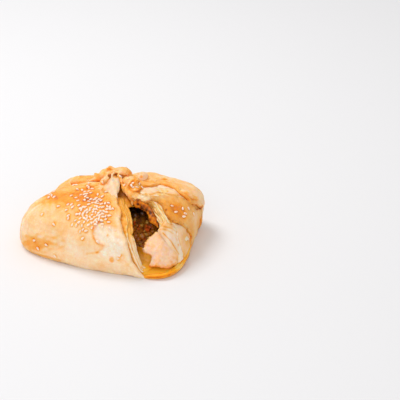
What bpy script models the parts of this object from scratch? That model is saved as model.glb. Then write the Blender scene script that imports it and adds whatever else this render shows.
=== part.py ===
"""Meat khachapuri: a puff-pastry envelope, its four flaps folded to the middle over minced meat.

Metres, +Z up. The origin is on the floor, under the middle of the base. The front flap faces -Y and
the right flap +X. They have opened along the corner between them, and the filling shows in the mouth.

Places on the crust are given as around and up. around runs -1..1 along the front, 1..3 up the right,
3..5 along the back and 5..7 down the left, so odd numbers are corners. up is 0 on the floor and 1 at
the crown. Depths are millimetres under the crust.
"""

import math

import bmesh
import bpy
import numpy as np
from mathutils import Matrix, Vector
from mathutils.bvhtree import BVHTree

MM = 0.001

# Envelope
HALF_LENGTH = 64.5 * MM
HALF_WIDTH = 54.0 * MM
SHOULDER_HEIGHT = 34.0 * MM
CROWN_HEIGHT = 46.5 * MM
WALL_SHARPNESS = 9.0
SHOULDER_SHARPNESS = 2.8
CROWN_SLACK = 1.6
PLAN_SQUARENESS = 4.4
CROWN_SQUARENESS = 2.4
UNDERCUT_HEIGHT = 9.0 * MM
UNDERCUT_SHARE = 0.045
PILLOW = 3.0 * MM
LUMPS = 0.5 * MM
LUMP_PITCH = 32.0 * MM
PROFILE_SAMPLES = 400

# Where the baked dough has risen or sunk: middle, move and spread, in millimetres
SWELLINGS = (
    ((-44, 14, 40), (0, 0, -12), 24),
    ((-24, 36, 42), (0, 0, -15), 24),
    ((-62, -24, 34), (2.5, 0, -1), 20),
    ((50, 46, 34), (3.5, 3, -1), 20),
    ((64, 34, 8), (-9, 0, 0), 24),
    ((64, -16, 4), (4, -2, 0), 15),
    ((62, -32, 4), (4, -4, 0), 16),
    ((38, -54, 4), (0, 3, 0), 22),
    ((-10, -54, 4), (0, -1.5, 0), 30),
)

# Dough
WALL = 9.0
LINING = 20.0
BASE_THICKNESS = 4.5 * MM
BASE_SHARE = 0.985
CORNER_ARC = 42.0 * MM
EDGE_RADIUS = 4.0 * MM
CURL_REACH = 7.0 * MM

# Edges of the leaves, as (up, around)
FRONT_CRUST = (
    (0, 0.92), (0.03, 0.9), (0.15, 0.71), (0.29, 0.66), (0.41, 0.65), (0.55, 0.64), (0.75, 0.6), (1, 0.5),
)
FRONT_CORE = ((0, 0.84), (0.15, 0.62), (0.3, 0.57), (0.5, 0.55), (1, 0.42))
FRONT_RIM = ((0, 0.9), (0.09, 0.8), (0.23, 0.76), (0.43, 0.81), (0.59, 0.95), (0.73, 1.07), (1, 1.15))
RIGHT_CRUST = (
    (0, 1.8), (0.02, 1.8), (0.09, 1.92), (0.17, 2.03), (0.24, 1.96), (0.33, 1.85),
    (0.38, 1.71), (0.42, 1.58), (0.48, 1.54), (0.58, 1.52), (0.68, 1.4), (1, 1.4),
)
RIGHT_CRUST_TOP = (
    (0, 3.0), (0.2, 2.75), (0.29, 2.45), (0.4, 2.36), (0.49, 2.3),
    (0.57, 2.1), (0.67, 1.8), (0.75, 1.7), (1, 1.7),
)
RIGHT_WALL = (
    (0, 1.84), (0.1, 1.9), (0.2, 1.86), (0.3, 1.76), (0.36, 1.6), (0.42, 1.56),
    (0.48, 1.53), (0.58, 1.52), (0.68, 1.42), (0.8, 1.38), (1, 1.36),
)
RIGHT_RIM = (
    (0, 1.5), (0.38, 1.52), (0.44, 1.57), (0.5, 1.52), (0.57, 1.52),
    (0.62, 1.58), (0.71, 1.48), (0.83, 1.36), (1, 1.3),
)
PALE_LEAF = ((0, 1.6), (0.12, 1.62), (0.25, 1.49), (0.38, 1.4), (1, 1.4))
FRONT_LINING = ((0, 0.6), (0.3, 0.53), (0.5, 0.48), (0.7, 0.36), (1, 0.25))
RIGHT_LINING = 1.7
BACK_SEAM = (
    (0, 2.8), (0.2, 2.66), (0.27, 2.6), (0.32, 2.52), (0.38, 2.36), (0.46, 2.4), (0.52, 2.5),
    (0.58, 2.75), (0.64, 2.9), (0.69, 2.6), (0.73, 2.35), (0.8, 2.2), (1, 2.2),
)

# Foot and tip of leaves whose ends run aslant, as (share of the way across, up)
FRONT_CRUST_TIP = ((0, 0.93), (0.6, 0.93), (0.85, 0.86), (1, 0.79))
FRONT_RIM_TIP = ((0, 0.93), (0.8, 0.9), (1, 0.84))
PALE_LEAF_TIP = ((0, 0.4), (0.5, 0.44), (1, 0.4))
LIP_TIP = ((0, 0.02), (0.1, 0.04), (0.5, 0.06), (0.75, 0.1), (1, 0.2))
INNER_LIP_TIP = ((0, 0.03), (0.3, 0.07), (0.5, 0.12), (0.75, 0.2), (1, 0.3))

# Thin leaves bared in the right flap's cut wall
WALL_LEAVES = 4
FIRST_WALL_LEAF = 2.0
WALL_LEAF_PITCH = 1.7
WALL_LEAF_THICKNESS = 1.2
WALL_LEAF_STEP = 0.015

# Tongue of inner dough drooping into the mouth, as (around, up, depth), and the cream lobe at the top
TONGUE_RIM = (
    (1.54, 0.38, 9), (1.2, 0.35, 11), (0.9, 0.23, 12), (1.02, 0.12, 11), (0.98, 0.03, 10),
    (1.25, 0.02, 7.5), (1.56, 0.03, 4), (1.72, 0.1, 3.2), (1.56, 0.24, 5.5),
)
TONGUE_MIDDLE = (1.35, 0.17, 7)
LOBE_RIM = (
    (-6.8, -5.8, 45), (-6.1, -1.1, 46.5), (-6.1, 4.1, 48), (-2, 6.4, 49), (3.2, 3.8, 48.5),
    (7.9, -3.1, 46.5), (10.3, -11.9, 46), (11.5, -16.8, 45.2), (6.7, -17.4, 45.6), (0.3, -15.2, 45.2),
)
LOBE_MIDDLE = (3.0, -6.5, 47.4)

# Rolled folds at the crown: path in millimetres, radii along it, and how lumpy they are
FOLDS = (
    (
        (
            (-24, 1, 41), (-17, 4, 43.5), (-11, 8.5, 47), (-9, 9.3, 48),
            (-5, 11, 47), (0, 15, 47), (4, 16.5, 44.5), (12, 13, 42),
        ),
        (3, 3.4, 3.8, 5.2, 4.8, 5.2, 4.6, 3), 0.1,
    ),
    (
        (
            (-3, 12, 44), (6, 8.5, 44), (12, 4.5, 44.5), (18, 0, 43.5),
            (20, -4.5, 42.5), (21, -8, 41), (22.5, -13, 37.5),
        ),
        (5, 5, 5.2, 6.4, 5.4, 3.2, 2.4), 0.06,
    ),
    (((8, 15, 42), (11, 22, 43), (15, 27, 41)), (3, 4, 3), 0.0),
    (((-40, 3, 35), (-34, 3, 38.5), (-28, 3, 39.2), (-22, 3, 40)), (3, 3.8, 3.2, 3), 0.0),
    (((8, -4, 42.5), (12, -8, 41), (16, -12, 38.5), (20, -14, 36.5)), (3, 3, 3, 2.6), 0.0),
)
FOLD_SPOKES = 16
FOLD_RINGS = 20

# Filling
FILLING_HALF_LENGTH = 50.0 * MM
FILLING_HALF_WIDTH = 41.0 * MM
FILLING_MIDDLE = (-5.0 * MM, 2.0 * MM)
FILLING_FOOT = 4.8 * MM
FILLING_HEIGHT = 27.0 * MM
FILLING_EDGE = 1.5 * MM
FILLING_LUMPS = 0.6 * MM
FILLING_COLUMNS = 20
FILLING_ROWS = 17
CORNER_ROUNDING = 0.4
MOUTH_WAY = (0.77, -0.64)
SLOPE_START = 27.0 * MM
SLOPE = 1.0
SUNK_ROOF = (-30.0 * MM, 25.0 * MM)
SUNK_DEPTH = 14.0 * MM
SUNK_SPREAD = 28.0 * MM
FILLING_GAP = 0.6 * MM

# Sesame, in millimetres
SEED_LENGTH = 3.1
SEED_WIDTH = 1.9
SEED_HEIGHT = 1.1
SEED_TAPER = 0.35
SEED_SPACING = 2.0
SEED_DRAW = 11
CRUST_LENGTH = 75.0
# Seeds that lie singly, as (around, up)
LONE_SEEDS = (
    (6.45, 0.48), (6.82, 0.53), (6.67, 0.55), (-0.91, 0.56), (-0.94, 0.52), (-0.66, 0.38), (-0.38, 0.33),
    (-0.62, 0.64), (-0.42, 0.62), (-0.31, 0.47), (-0.21, 0.42), (-0.08, 0.41), (-0.11, 0.36), (-0.06, 0.37),
    (0.02, 0.32), (0.06, 0.28), (-0.60, 0.15), (-0.42, 0.15), (-0.55, 0.09), (-0.29, 0.08), (6.84, 0.71),
    (0.41, 0.40), (0.26, 0.28), (0.50, 0.17), (5.91, 0.89), (1.97, 0.47), (1.94, 0.41), (2.08, 0.35),
    (2.28, 0.30), (1.69, 0.29), (2.66, 0.87), (2.9, 0.83), (2.45, 0.81), (2.2, 0.84), (6.66, 0.62),
)
# Handfuls strewn close together, as (around, up, spread, count)
HANDFULS = (
    (-0.05, 0.58, 3.0, 8), (0.05, 0.64, 2.8, 8), (0.14, 0.70, 2.4, 5), (-0.03, 0.48, 2.6, 7),
    (0.09, 0.41, 2.8, 8), (0.18, 0.44, 2.4, 6), (0.28, 0.55, 2.8, 8), (0.31, 0.64, 2.2, 4),
    (0.19, 0.59, 3.0, 3), (-0.81, 0.76, 2.4, 4), (-0.43, 0.68, 3.0, 4), (0.22, 0.39, 2.0, 3),
)
TRIES = 400

# Solids
VOXEL = 0.9 * MM
CRUST_TRIANGLES = 6100
SMOOTH_UP_TO = math.radians(40.0)

# Material: colour, roughness
BAKED_DOUGH = ((0.83, 0.49, 0.19), 0.5)
MINCED_MEAT = ((0.16, 0.07, 0.015), 0.6)


def smooth(value, low, high):
    """0 below low, 1 above high, and an S-curve between."""
    share = np.clip((value - low) / (high - low), 0.0, 1.0)
    return share * share * (3.0 - 2.0 * share)


def ripple(x, y, size, draw):
    """A smooth random relief between about -1 and 1, its bumps about this size apart."""
    random = np.random.default_rng(draw)
    total = np.zeros(np.broadcast(x, y).shape)
    waves = 7
    for _ in range(waves):
        turn = random.uniform(0.0, math.tau)
        pitch = math.tau / (size * random.uniform(0.7, 1.8))
        phase = random.uniform(0.0, math.tau)
        total += np.sin(pitch * (x * math.cos(turn) + y * math.sin(turn)) + phase)
    return total / math.sqrt(waves)


def rounding(inset):
    """Drop of a round edge, as a share of its radius, at this share of the radius in from the edge."""
    return 1.0 - np.sqrt(np.clip(1.0 - (1.0 - np.clip(inset, 0, 1)) ** 2, 0, 1))


def profile():
    """Reach (share of the half side) and height of the crust from the floor to the crown, by arc length."""
    lean = np.linspace(0.0, math.pi / 2, PROFILE_SAMPLES)
    reach = np.cos(lean) ** (2.0 / WALL_SHARPNESS)
    reach[-1] = 0.0
    wall = np.sin(lean) ** (2.0 / SHOULDER_SHARPNESS)
    rise = CROWN_HEIGHT - SHOULDER_HEIGHT
    height = (SHOULDER_HEIGHT + rise * (1.0 - reach**CROWN_SLACK)) * wall
    low = np.clip(1.0 - height / UNDERCUT_HEIGHT, 0.0, 1.0)
    reach = reach * (1.0 - UNDERCUT_SHARE * low**2)
    steps = np.hypot(np.diff(reach) * HALF_LENGTH, np.diff(height))
    along = np.concatenate([[0.0], np.cumsum(steps)])
    return along / along[-1], reach, height, along[-1]


PROFILE_UP, PROFILE_REACH, PROFILE_HEIGHT, PROFILE_LENGTH = profile()


def crust_point(around, up):
    """Point on the closed crust."""
    around, up = np.broadcast_arrays(np.asarray(around, float), np.asarray(up, float))
    side = np.floor((around + 1.0) / 2.0)
    across = around - 2.0 * side
    quarter = side.astype(int) % 4
    x = np.choose(quarter, [across, np.ones_like(across), -across, -np.ones_like(across)])
    y = np.choose(quarter, [-np.ones_like(across), across, np.ones_like(across), -across])
    reach = np.interp(up, PROFILE_UP, PROFILE_REACH)
    height = np.interp(up, PROFILE_UP, PROFILE_HEIGHT)
    power = CROWN_SQUARENESS + (PLAN_SQUARENESS - CROWN_SQUARENESS) * smooth(reach, 0.3, 0.9)
    radius = (np.abs(x) ** power + np.abs(y) ** power) ** (1.0 / power)
    puff = PILLOW * np.cos(across * math.pi / 2) ** 2 * np.sin(np.clip(up, 0, 1) * math.pi)
    out_x = x / radius * (reach * HALF_LENGTH + 0.5 * puff)
    out_y = y / radius * (reach * HALF_WIDTH + 0.5 * puff)
    point = np.stack([out_x, out_y, height + puff * smooth(up, 0.25, 0.6)], axis=-1)
    for middle, move, spread in SWELLINGS:
        away = np.linalg.norm(point - np.array(middle) * MM, axis=-1, keepdims=True)
        lifted = np.concatenate([np.ones_like(point[..., :2]), smooth(point[..., 2:], 0.0, 8 * MM)], axis=-1)
        point = point + np.array(move) * MM * np.exp(-((away / (spread * MM)) ** 2)) * lifted
    x, y, z = (point[..., k] for k in range(3))
    lumps = LUMPS * ripple(x + 0.6 * z, y - 0.5 * z, LUMP_PITCH, 2) * smooth(z, 0.0, 12 * MM)
    return point * (1.0 + lumps / HALF_LENGTH)[..., None]


def crust_frame(around, up):
    """Point on the crust and the unit normal that leaves it."""
    small = 1e-3
    point = crust_point(around, up)
    along = crust_point(around + small, up) - crust_point(around - small, up)
    rise = crust_point(around, np.minimum(up + small, 1.0)) - crust_point(around, np.maximum(up - small, 0.0))
    normal = np.cross(along, rise)
    length = np.linalg.norm(normal, axis=-1, keepdims=True)
    return point, normal / np.maximum(length, 1e-12)


def under_crust(around, up, depth):
    """The point this many millimetres under the crust."""
    point, normal = crust_frame(np.array(around, float), np.array(up, float))
    return point - normal * depth * MM


def run(points, place):
    """A value that follows (place, value) pairs; a plain number stays as it is."""
    if not isinstance(points, tuple):
        return np.full(np.shape(place), float(points))
    places, values = zip(*points)
    return np.interp(place, places, values)


def slab(place, columns, rows, walls=2):
    """A closed slab: an extruded grid that place(u, v, w) puts in space, w being 0 outside and 1 inside."""
    mesh = bmesh.new()
    bmesh.ops.create_grid(mesh, x_segments=columns, y_segments=rows, size=1.0)
    made = bmesh.ops.extrude_face_region(mesh, geom=mesh.faces[:])
    lifted = [v for v in made["geom"] if isinstance(v, bmesh.types.BMVert)]
    bmesh.ops.translate(mesh, verts=lifted, vec=(0.0, 0.0, 1.0))
    uprights = [e for e in mesh.edges if abs(e.verts[0].co.z - e.verts[1].co.z) > 0.5]
    bmesh.ops.subdivide_edges(mesh, edges=uprights, cuts=walls, use_grid_fill=True)
    flat = np.array([v.co for v in mesh.verts])
    u = (1.0 - np.cos((flat[:, 0] + 1.0) * math.pi / 2)) / 2
    v = (flat[:, 1] + 1.0) / 2
    for vert, spot in zip(mesh.verts, place(u, v, 1.0 - flat[:, 2])):
        vert.co = spot
    bmesh.ops.recalc_face_normals(mesh, faces=mesh.faces[:])
    return mesh


def leaf(left, right, foot, tip, outside, inside, curl=0.0, wave=0.0, pitch=9.0, draw=1, rows=50):
    """One leaf of dough between its side edges and its foot and tip, from one depth to another."""
    thickness = (inside - outside) * MM
    radius = min(thickness / 2, EDGE_RADIUS)

    def place(u, v, w):
        low_up, high_up = run(foot, u), run(tip, u)
        up = low_up + (high_up - low_up) * v
        along = up * PROFILE_LENGTH
        ragged = wave * MM / CORNER_ARC
        low = run(left, up) + ragged * ripple(along, np.zeros_like(up), pitch * MM, draw)
        high = run(right, up) + ragged * ripple(along, np.zeros_like(up), pitch * MM, draw + 1)
        around = low + (high - low) * u
        point, normal = crust_frame(around, up)
        arc = CORNER_ARC * np.maximum(np.interp(up, PROFILE_UP, PROFILE_REACH), 0.1)
        sideways = np.minimum(around - low, high - around) * arc
        to_edge = np.minimum(sideways, (high_up - up) * PROFILE_LENGTH)
        dip = radius * rounding(to_edge / radius)
        lift = curl * MM * np.exp(-np.maximum(to_edge, 0.0) / CURL_REACH)
        depth = outside * MM + dip + (thickness - 2.0 * dip) * w - lift
        spot = point - normal * depth[..., None]
        spot[..., 2] = np.maximum(spot[..., 2], 0.0)
        return spot

    return slab(place, 60, rows)


def rim_point(rim, turn):
    """A smooth closed curve through the rim's points; turn goes 0..1 once round."""
    count = len(rim)
    first = np.floor(turn * count).astype(int)
    t = (turn * count - first)[..., None]
    before, start, end, after = (rim[(first + k) % count] for k in (-1, 0, 1, 2))
    bend = 2 * before - 5 * start + 4 * end - after
    twist = 3 * start - before - 3 * end + after
    return 0.5 * (2 * start + (end - before) * t + bend * t**2 + twist * t**3)


def flake(rim, middle, thickness, bulge, ruffle=0.3, draw=1, columns=30):
    """A rounded flake of dough: a closed sheet inside a rim of points, with its middle raised."""
    rim = np.array(rim)
    middle = np.array(middle)
    spokes = rim - middle
    facing = np.cross(spokes, np.roll(spokes, -1, axis=0)).sum(axis=0)
    facing = facing / np.linalg.norm(facing)
    if facing @ (middle - np.array([0.0, 0.0, CROWN_HEIGHT / 2])) < 0:
        facing = -facing
    size = np.linalg.norm(spokes, axis=1).mean()
    thick = thickness * MM

    def place(u, v, w):
        x = -np.cos(u * math.pi)
        y = 2.0 * v - 1.0
        round_x = x * np.sqrt(np.clip(1.0 - y * y / 2, 0, 1))
        round_y = y * np.sqrt(np.clip(1.0 - x * x / 2, 0, 1))
        radius = np.hypot(round_x, round_y)
        edge = rim_point(rim, np.mod(np.arctan2(round_y, round_x) / math.tau, 1.0))
        spot = middle + (edge - middle) * radius[..., None]
        dip = thick / 2 * rounding((1.0 - radius) * size / (thick / 2))
        rise = bulge * MM * (1.0 - radius**2)
        rise = rise + ruffle * MM * ripple(spot[..., 0], spot[..., 1], 8.0 * MM, draw) * radius
        spot = spot + facing * (rise - dip - (thick - 2.0 * dip) * w)[..., None]
        spot[..., 2] = np.maximum(spot[..., 2], 0.0)
        return spot

    return slab(place, columns, columns)


def fold(path, radii, lumps, draw):
    """A rolled fold of dough: a round bar along a path, as thick at each point of it as its radius says."""
    path = np.array(path) * MM
    places = np.linspace(0.0, 1.0, len(path))
    mesh = bmesh.new()
    bmesh.ops.create_uvsphere(mesh, u_segments=FOLD_SPOKES, v_segments=FOLD_RINGS, radius=1.0)
    flat = np.array([v.co for v in mesh.verts])
    t = np.arccos(np.clip(-flat[:, 2], -1, 1)) / math.pi

    def on_path(share):
        return np.stack([np.interp(share, places, path[:, k]) for k in range(3)], axis=-1)

    forward = on_path(t + 0.05) - on_path(t - 0.05)
    forward /= np.linalg.norm(forward, axis=-1, keepdims=True)
    sideways = np.cross(forward, np.array([0.0, 0.0, 1.0]))
    sideways /= np.maximum(np.linalg.norm(sideways, axis=-1, keepdims=True), 1e-9)
    upward = np.cross(sideways, forward)
    ends = np.minimum(1.0, np.hypot(flat[:, 0], flat[:, 1]) * 1.7)
    turn = np.arctan2(flat[:, 1], flat[:, 0])
    out = np.interp(t, places, radii) * MM * ends
    out = out * (1.0 + lumps * ripple(t * 60 * MM, turn * 6 * MM, 12 * MM, draw))
    spots = on_path(t) + (sideways * np.cos(turn)[:, None] + upward * np.sin(turn)[:, None]) * out[:, None]
    for vert, spot in zip(mesh.verts, spots):
        vert.co = spot
    bmesh.ops.recalc_face_normals(mesh, faces=mesh.faces[:])
    return mesh


def front_flap():
    """The crust, the set-back core behind it, and two thin leaves that stand out past the core as a rim."""
    behind_rim = tuple((up, around - 0.05) for up, around in FRONT_RIM)
    return [
        leaf(-1.02, FRONT_CRUST, 0.0, FRONT_CRUST_TIP, 0.0, 2.4, curl=0.7, wave=0.3, draw=3),
        leaf(-1.0, FRONT_CORE, 0.0, 0.88, 2.0, 8.0),
        leaf(-1.0, behind_rim, 0.0, FRONT_CRUST_TIP, 4.6, 5.9, wave=0.8, draw=5),
        leaf(-1.0, FRONT_RIM, 0.0, FRONT_RIM_TIP, 6.4, 8.4, wave=0.4, pitch=14.0, draw=7),
        leaf(-1.0, FRONT_LINING, 0.0, 0.97, WALL - 2.0, LINING),
    ]


def right_flap():
    """The crust, thin leaves bared in its cut wall, the thick inner rim, and the pale leaf under them."""
    meshes = [leaf(RIGHT_CRUST, RIGHT_CRUST_TOP, 0.0, 0.86, 0.0, 2.2, curl=0.5, wave=0.3, draw=11)]
    for k in range(WALL_LEAVES):
        edge = tuple((up, around - WALL_LEAF_STEP * k) for up, around in RIGHT_WALL)
        depth = FIRST_WALL_LEAF + WALL_LEAF_PITCH * k
        inside = depth + WALL_LEAF_THICKNESS
        meshes.append(leaf(edge, 3.0, 0.0, 0.88, depth, inside, wave=0.9, pitch=6.0, draw=20 + k))
    meshes.append(leaf(RIGHT_RIM, 3.0, 0.36, 0.9, 7.6, 10.2, wave=1.1, pitch=7.0, draw=40))
    meshes.append(leaf(1.9, 3.1, 0.0, 0.88, 1.6, 10.0))
    meshes.append(leaf(RIGHT_LINING, 3.1, 0.0, 0.97, WALL, LINING))
    meshes.append(leaf(PALE_LEAF, 2.1, 0.0, PALE_LEAF_TIP, 2.6, 6.5))
    return meshes


def lip():
    """The edge of the bottom sheet, turned up round the open corner."""
    return [
        leaf(0.86, 2.2, 0.0, LIP_TIP, 0.0, 2.6, rows=12),
        leaf(1.3, 2.2, 0.0, INNER_LIP_TIP, 1.6, 4.0, rows=12),
    ]


def back_and_left_flaps():
    """The back flap laps over the right one along a seam, with paler leaves under its edge."""
    return [
        leaf(BACK_SEAM, 5.0, 0.0, 0.95, -0.8, 2.5, curl=0.4),
        leaf(2.1, 3.3, 0.0, 0.9, 1.4, 4.0),
        leaf(3.0, 5.0, 0.0, 0.97, 2.0, LINING),
        leaf(5.0, 7.0, 0.0, 0.97, 0.0, LINING),
    ]


def tongue():
    """Inner dough that has drooped over the filling, to the right of the mouth."""
    rim = [under_crust(*place) for place in TONGUE_RIM]
    return [flake(rim, under_crust(*TONGUE_MIDDLE), 3.0, 1.6)]


def crown():
    """The flaps' tips, rolled and folded over each other, and the pale lobe in front of them."""
    meshes = [fold(path, radii, lumps, draw + 1) for draw, (path, radii, lumps) in enumerate(FOLDS)]
    rim = np.array(LOBE_RIM) * MM
    meshes.append(flake(rim, np.array(LOBE_MIDDLE) * MM, 2.6, 0.8, ruffle=0.2, columns=24))
    return meshes


def base():
    """The dough under the filling, out to the foot of the walls."""
    mesh = bmesh.new()
    bmesh.ops.create_circle(mesh, cap_ends=True, segments=96, radius=1.0)
    for vert in mesh.verts:
        around = math.atan2(vert.co.y, vert.co.x) / (math.pi / 4) + 2.0
        vert.co = Vector(crust_point(around, 0.0) * BASE_SHARE)
        vert.co.z = 0.0
    made = bmesh.ops.extrude_face_region(mesh, geom=mesh.faces[:])
    lifted = [v for v in made["geom"] if isinstance(v, bmesh.types.BMVert)]
    bmesh.ops.translate(mesh, verts=lifted, vec=(0.0, 0.0, BASE_THICKNESS))
    bmesh.ops.recalc_face_normals(mesh, faces=mesh.faces[:])
    return [mesh]


def heap(extra=0.0):
    """The filling's shape, heaped under the roof and sloping into the mouth. extra swells it all round."""
    mesh = bmesh.new()
    bmesh.ops.create_grid(mesh, x_segments=FILLING_COLUMNS, y_segments=FILLING_ROWS, size=1.0)
    made = bmesh.ops.extrude_face_region(mesh, geom=mesh.faces[:])
    lifted = [v for v in made["geom"] if isinstance(v, bmesh.types.BMVert)]
    bmesh.ops.translate(mesh, verts=lifted, vec=(0.0, 0.0, 1.0))
    for vert in mesh.verts:
        u, v = vert.co.x, vert.co.y
        share_x = u * math.sqrt(1 - v * v * CORNER_ROUNDING)
        share_y = v * math.sqrt(1 - u * u * CORNER_ROUNDING)
        x = share_x * FILLING_HALF_LENGTH
        y = share_y * FILLING_HALF_WIDTH
        toward = x * MOUTH_WAY[0] + y * MOUTH_WAY[1]
        sunk = math.hypot(x - SUNK_ROOF[0], y - SUNK_ROOF[1])
        roof = FILLING_HEIGHT - max(0.0, toward - SLOPE_START) * SLOPE
        roof -= SUNK_DEPTH * math.exp(-((sunk / SUNK_SPREAD) ** 2))
        roof += FILLING_LUMPS * float(ripple(x, y, 7 * MM, 90))
        roof = FILLING_FOOT + (roof - FILLING_FOOT) * math.sqrt(max(0.0, 1 - max(abs(u), abs(v)) ** 6))
        roof = max(roof, FILLING_FOOT + FILLING_EDGE)
        x += FILLING_MIDDLE[0] + share_x * extra
        y += FILLING_MIDDLE[1] + share_y * extra
        vert.co = Vector((x, y, roof + extra if vert.co.z > 0.5 else FILLING_FOOT - extra))
    bmesh.ops.recalc_face_normals(mesh, faces=mesh.faces[:])
    return [mesh]


def seed_places():
    """(around, up) of each sesame seed: those that lie singly, then the strewn handfuls."""
    places = list(LONE_SEEDS)
    random = np.random.default_rng(SEED_DRAW)
    scale = np.array([CORNER_ARC / MM, CRUST_LENGTH])
    for around, up, spread, count in HANDFULS:
        left = count
        for _ in range(TRIES):
            spot = np.array([around, up]) + random.normal(0.0, spread, 2) / scale
            nearest = np.linalg.norm((np.array(places) - spot) * scale, axis=1).min()
            if left and nearest > SEED_SPACING:
                places.append(tuple(spot))
                left -= 1
    return places


def strewn_seeds(surface):
    """A collection of sesame seeds, each a small drop laid flat on the crust."""
    strewn = bpy.data.collections.new("seeds")
    bpy.context.scene.collection.children.link(strewn)
    random = np.random.default_rng(SEED_DRAW + 1)
    for around, up in seed_places():
        point, normal = crust_frame(np.array(around), np.array(up))
        normal = Vector(normal)
        hit = surface.ray_cast(Vector(point) + normal * 12 * MM, -normal, 20 * MM)[0]
        mesh = bmesh.new()
        bmesh.ops.create_uvsphere(mesh, u_segments=5, v_segments=3, radius=0.5)
        for vert in mesh.verts:
            x, y, z = vert.co
            taper = 1.0 - SEED_TAPER * 2.0 * z
            vert.co = Vector((z * SEED_LENGTH, x * SEED_WIDTH * taper, y * SEED_HEIGHT)) * MM
        turn = Matrix.Rotation(random.uniform(0.0, math.tau), 4, "Z")
        lie = normal.to_track_quat("Z", "X").to_matrix().to_4x4()
        rest = Matrix.Translation(hit + normal * SEED_HEIGHT * 0.2 * MM)
        bmesh.ops.transform(mesh, matrix=rest @ lie @ turn, verts=mesh.verts)
        strewn.objects.link(joined("seed", [mesh], link=False))
    return strewn


def joined(name, meshes, link=True):
    """One object that holds all these meshes."""
    whole = bmesh.new()
    for mesh in meshes:
        piece = bpy.data.meshes.new("piece")
        mesh.to_mesh(piece)
        mesh.free()
        whole.from_mesh(piece)
        bpy.data.meshes.remove(piece)
    thing = bpy.data.objects.new(name, bpy.data.meshes.new(name))
    whole.to_mesh(thing.data)
    whole.free()
    if link:
        bpy.context.scene.collection.objects.link(thing)
    return thing


def settle(thing, kind, **settings):
    """Apply one modifier for good."""
    step = thing.modifiers.new(kind.title(), kind)
    for name, value in settings.items():
        setattr(step, name, value)
    bpy.context.view_layer.update()
    shaped = bpy.data.meshes.new_from_object(thing.evaluated_get(bpy.context.evaluated_depsgraph_get()))
    thing.modifiers.remove(step)
    before = thing.data
    thing.data = shaped
    bpy.data.meshes.remove(before)


def keep_largest_shell(thing):
    """Keep the outer skin and drop any loose crumb or bubble shut inside it."""
    mesh = bmesh.new()
    mesh.from_mesh(thing.data)
    waiting = set(mesh.verts)
    shells = []
    while waiting:
        front = [waiting.pop()]
        shell = set(front)
        while front:
            vert = front.pop()
            reached = {edge.other_vert(vert) for edge in vert.link_edges} & waiting
            waiting -= reached
            shell |= reached
            front.extend(reached)
        shells.append(shell)
    largest = max(shells, key=len)
    bmesh.ops.delete(mesh, geom=[v for v in mesh.verts if v not in largest], context="VERTS")
    mesh.to_mesh(thing.data)
    mesh.free()


def flatten_foot(thing, height):
    """Set everything lower than this down on the floor."""
    for vert in thing.data.vertices:
        if vert.co.z < height:
            vert.co.z = 0.0


def remove(things):
    for thing in list(things):
        mesh = thing.data
        bpy.data.objects.remove(thing)
        bpy.data.meshes.remove(mesh)


def finish(thing, name, look):
    """Shade the solid smooth and give it its material."""
    colour, roughness = look
    material = bpy.data.materials.new(name)
    material.use_nodes = True
    shader = material.node_tree.nodes["Principled BSDF"]
    shader.inputs["Base Color"].default_value = (*colour, 1.0)
    shader.inputs["Roughness"].default_value = roughness
    thing.data.materials.clear()
    thing.data.materials.append(material)
    thing.data.shade_smooth()
    thing.data.set_sharp_from_angle(angle=SMOOTH_UP_TO)


def build_pastry():
    """All the dough as one solid, hollow where the filling lies, with the sesame baked on."""
    dough = front_flap() + right_flap() + lip() + back_and_left_flaps() + tongue() + crown() + base()
    pastry = joined("pastry", dough)
    settle(pastry, "REMESH", mode="VOXEL", voxel_size=VOXEL)
    keep_largest_shell(pastry)
    flatten_foot(pastry, VOXEL * 0.5)
    settle(pastry, "DECIMATE", ratio=CRUST_TRIANGLES / (2 * len(pastry.data.polygons)))
    flatten_foot(pastry, VOXEL * 0.3)

    room = joined("room", heap(FILLING_GAP))
    settle(pastry, "BOOLEAN", operation="DIFFERENCE", solver="EXACT", object=room)
    remove([room])
    keep_largest_shell(pastry)

    mesh = bmesh.new()
    mesh.from_mesh(pastry.data)
    strewn = strewn_seeds(BVHTree.FromBMesh(mesh))
    mesh.free()
    settle(pastry, "BOOLEAN", operation="UNION", solver="EXACT", operand_type="COLLECTION", collection=strewn)
    remove(strewn.objects)
    bpy.data.collections.remove(strewn)
    keep_largest_shell(pastry)
    finish(pastry, "baked_dough", BAKED_DOUGH)


def build_filling():
    """Minced meat with carrot, clear of the dough all round."""
    finish(joined("filling", heap()), "minced_meat", MINCED_MEAT)


for old in list(bpy.data.objects):
    bpy.data.objects.remove(old)
build_pastry()
build_filling()
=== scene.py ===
"""Meat khachapuri: a puff-pastry envelope with its flaps folded to the middle over minced meat.

Metres, +Z up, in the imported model's frame: the front flap faces -Y and the right flap +X, and the
open corner lies between them. A place on the crust is given as around and up. around runs -1..1 along
the front, 1..3 up the right, 3..5 along the back and 5..7 down the left. up is 0 on the floor and 1
at the crown. A place in the picture is a pixel across and down. Depths, reliefs and the third number
of a place in the picture, which is how far it lies toward the camera, are millimetres.
"""

import math

import bmesh
import bpy
import numpy as np
from mathutils import Matrix, Vector, kdtree, noise
from mathutils.bvhtree import BVHTree


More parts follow.
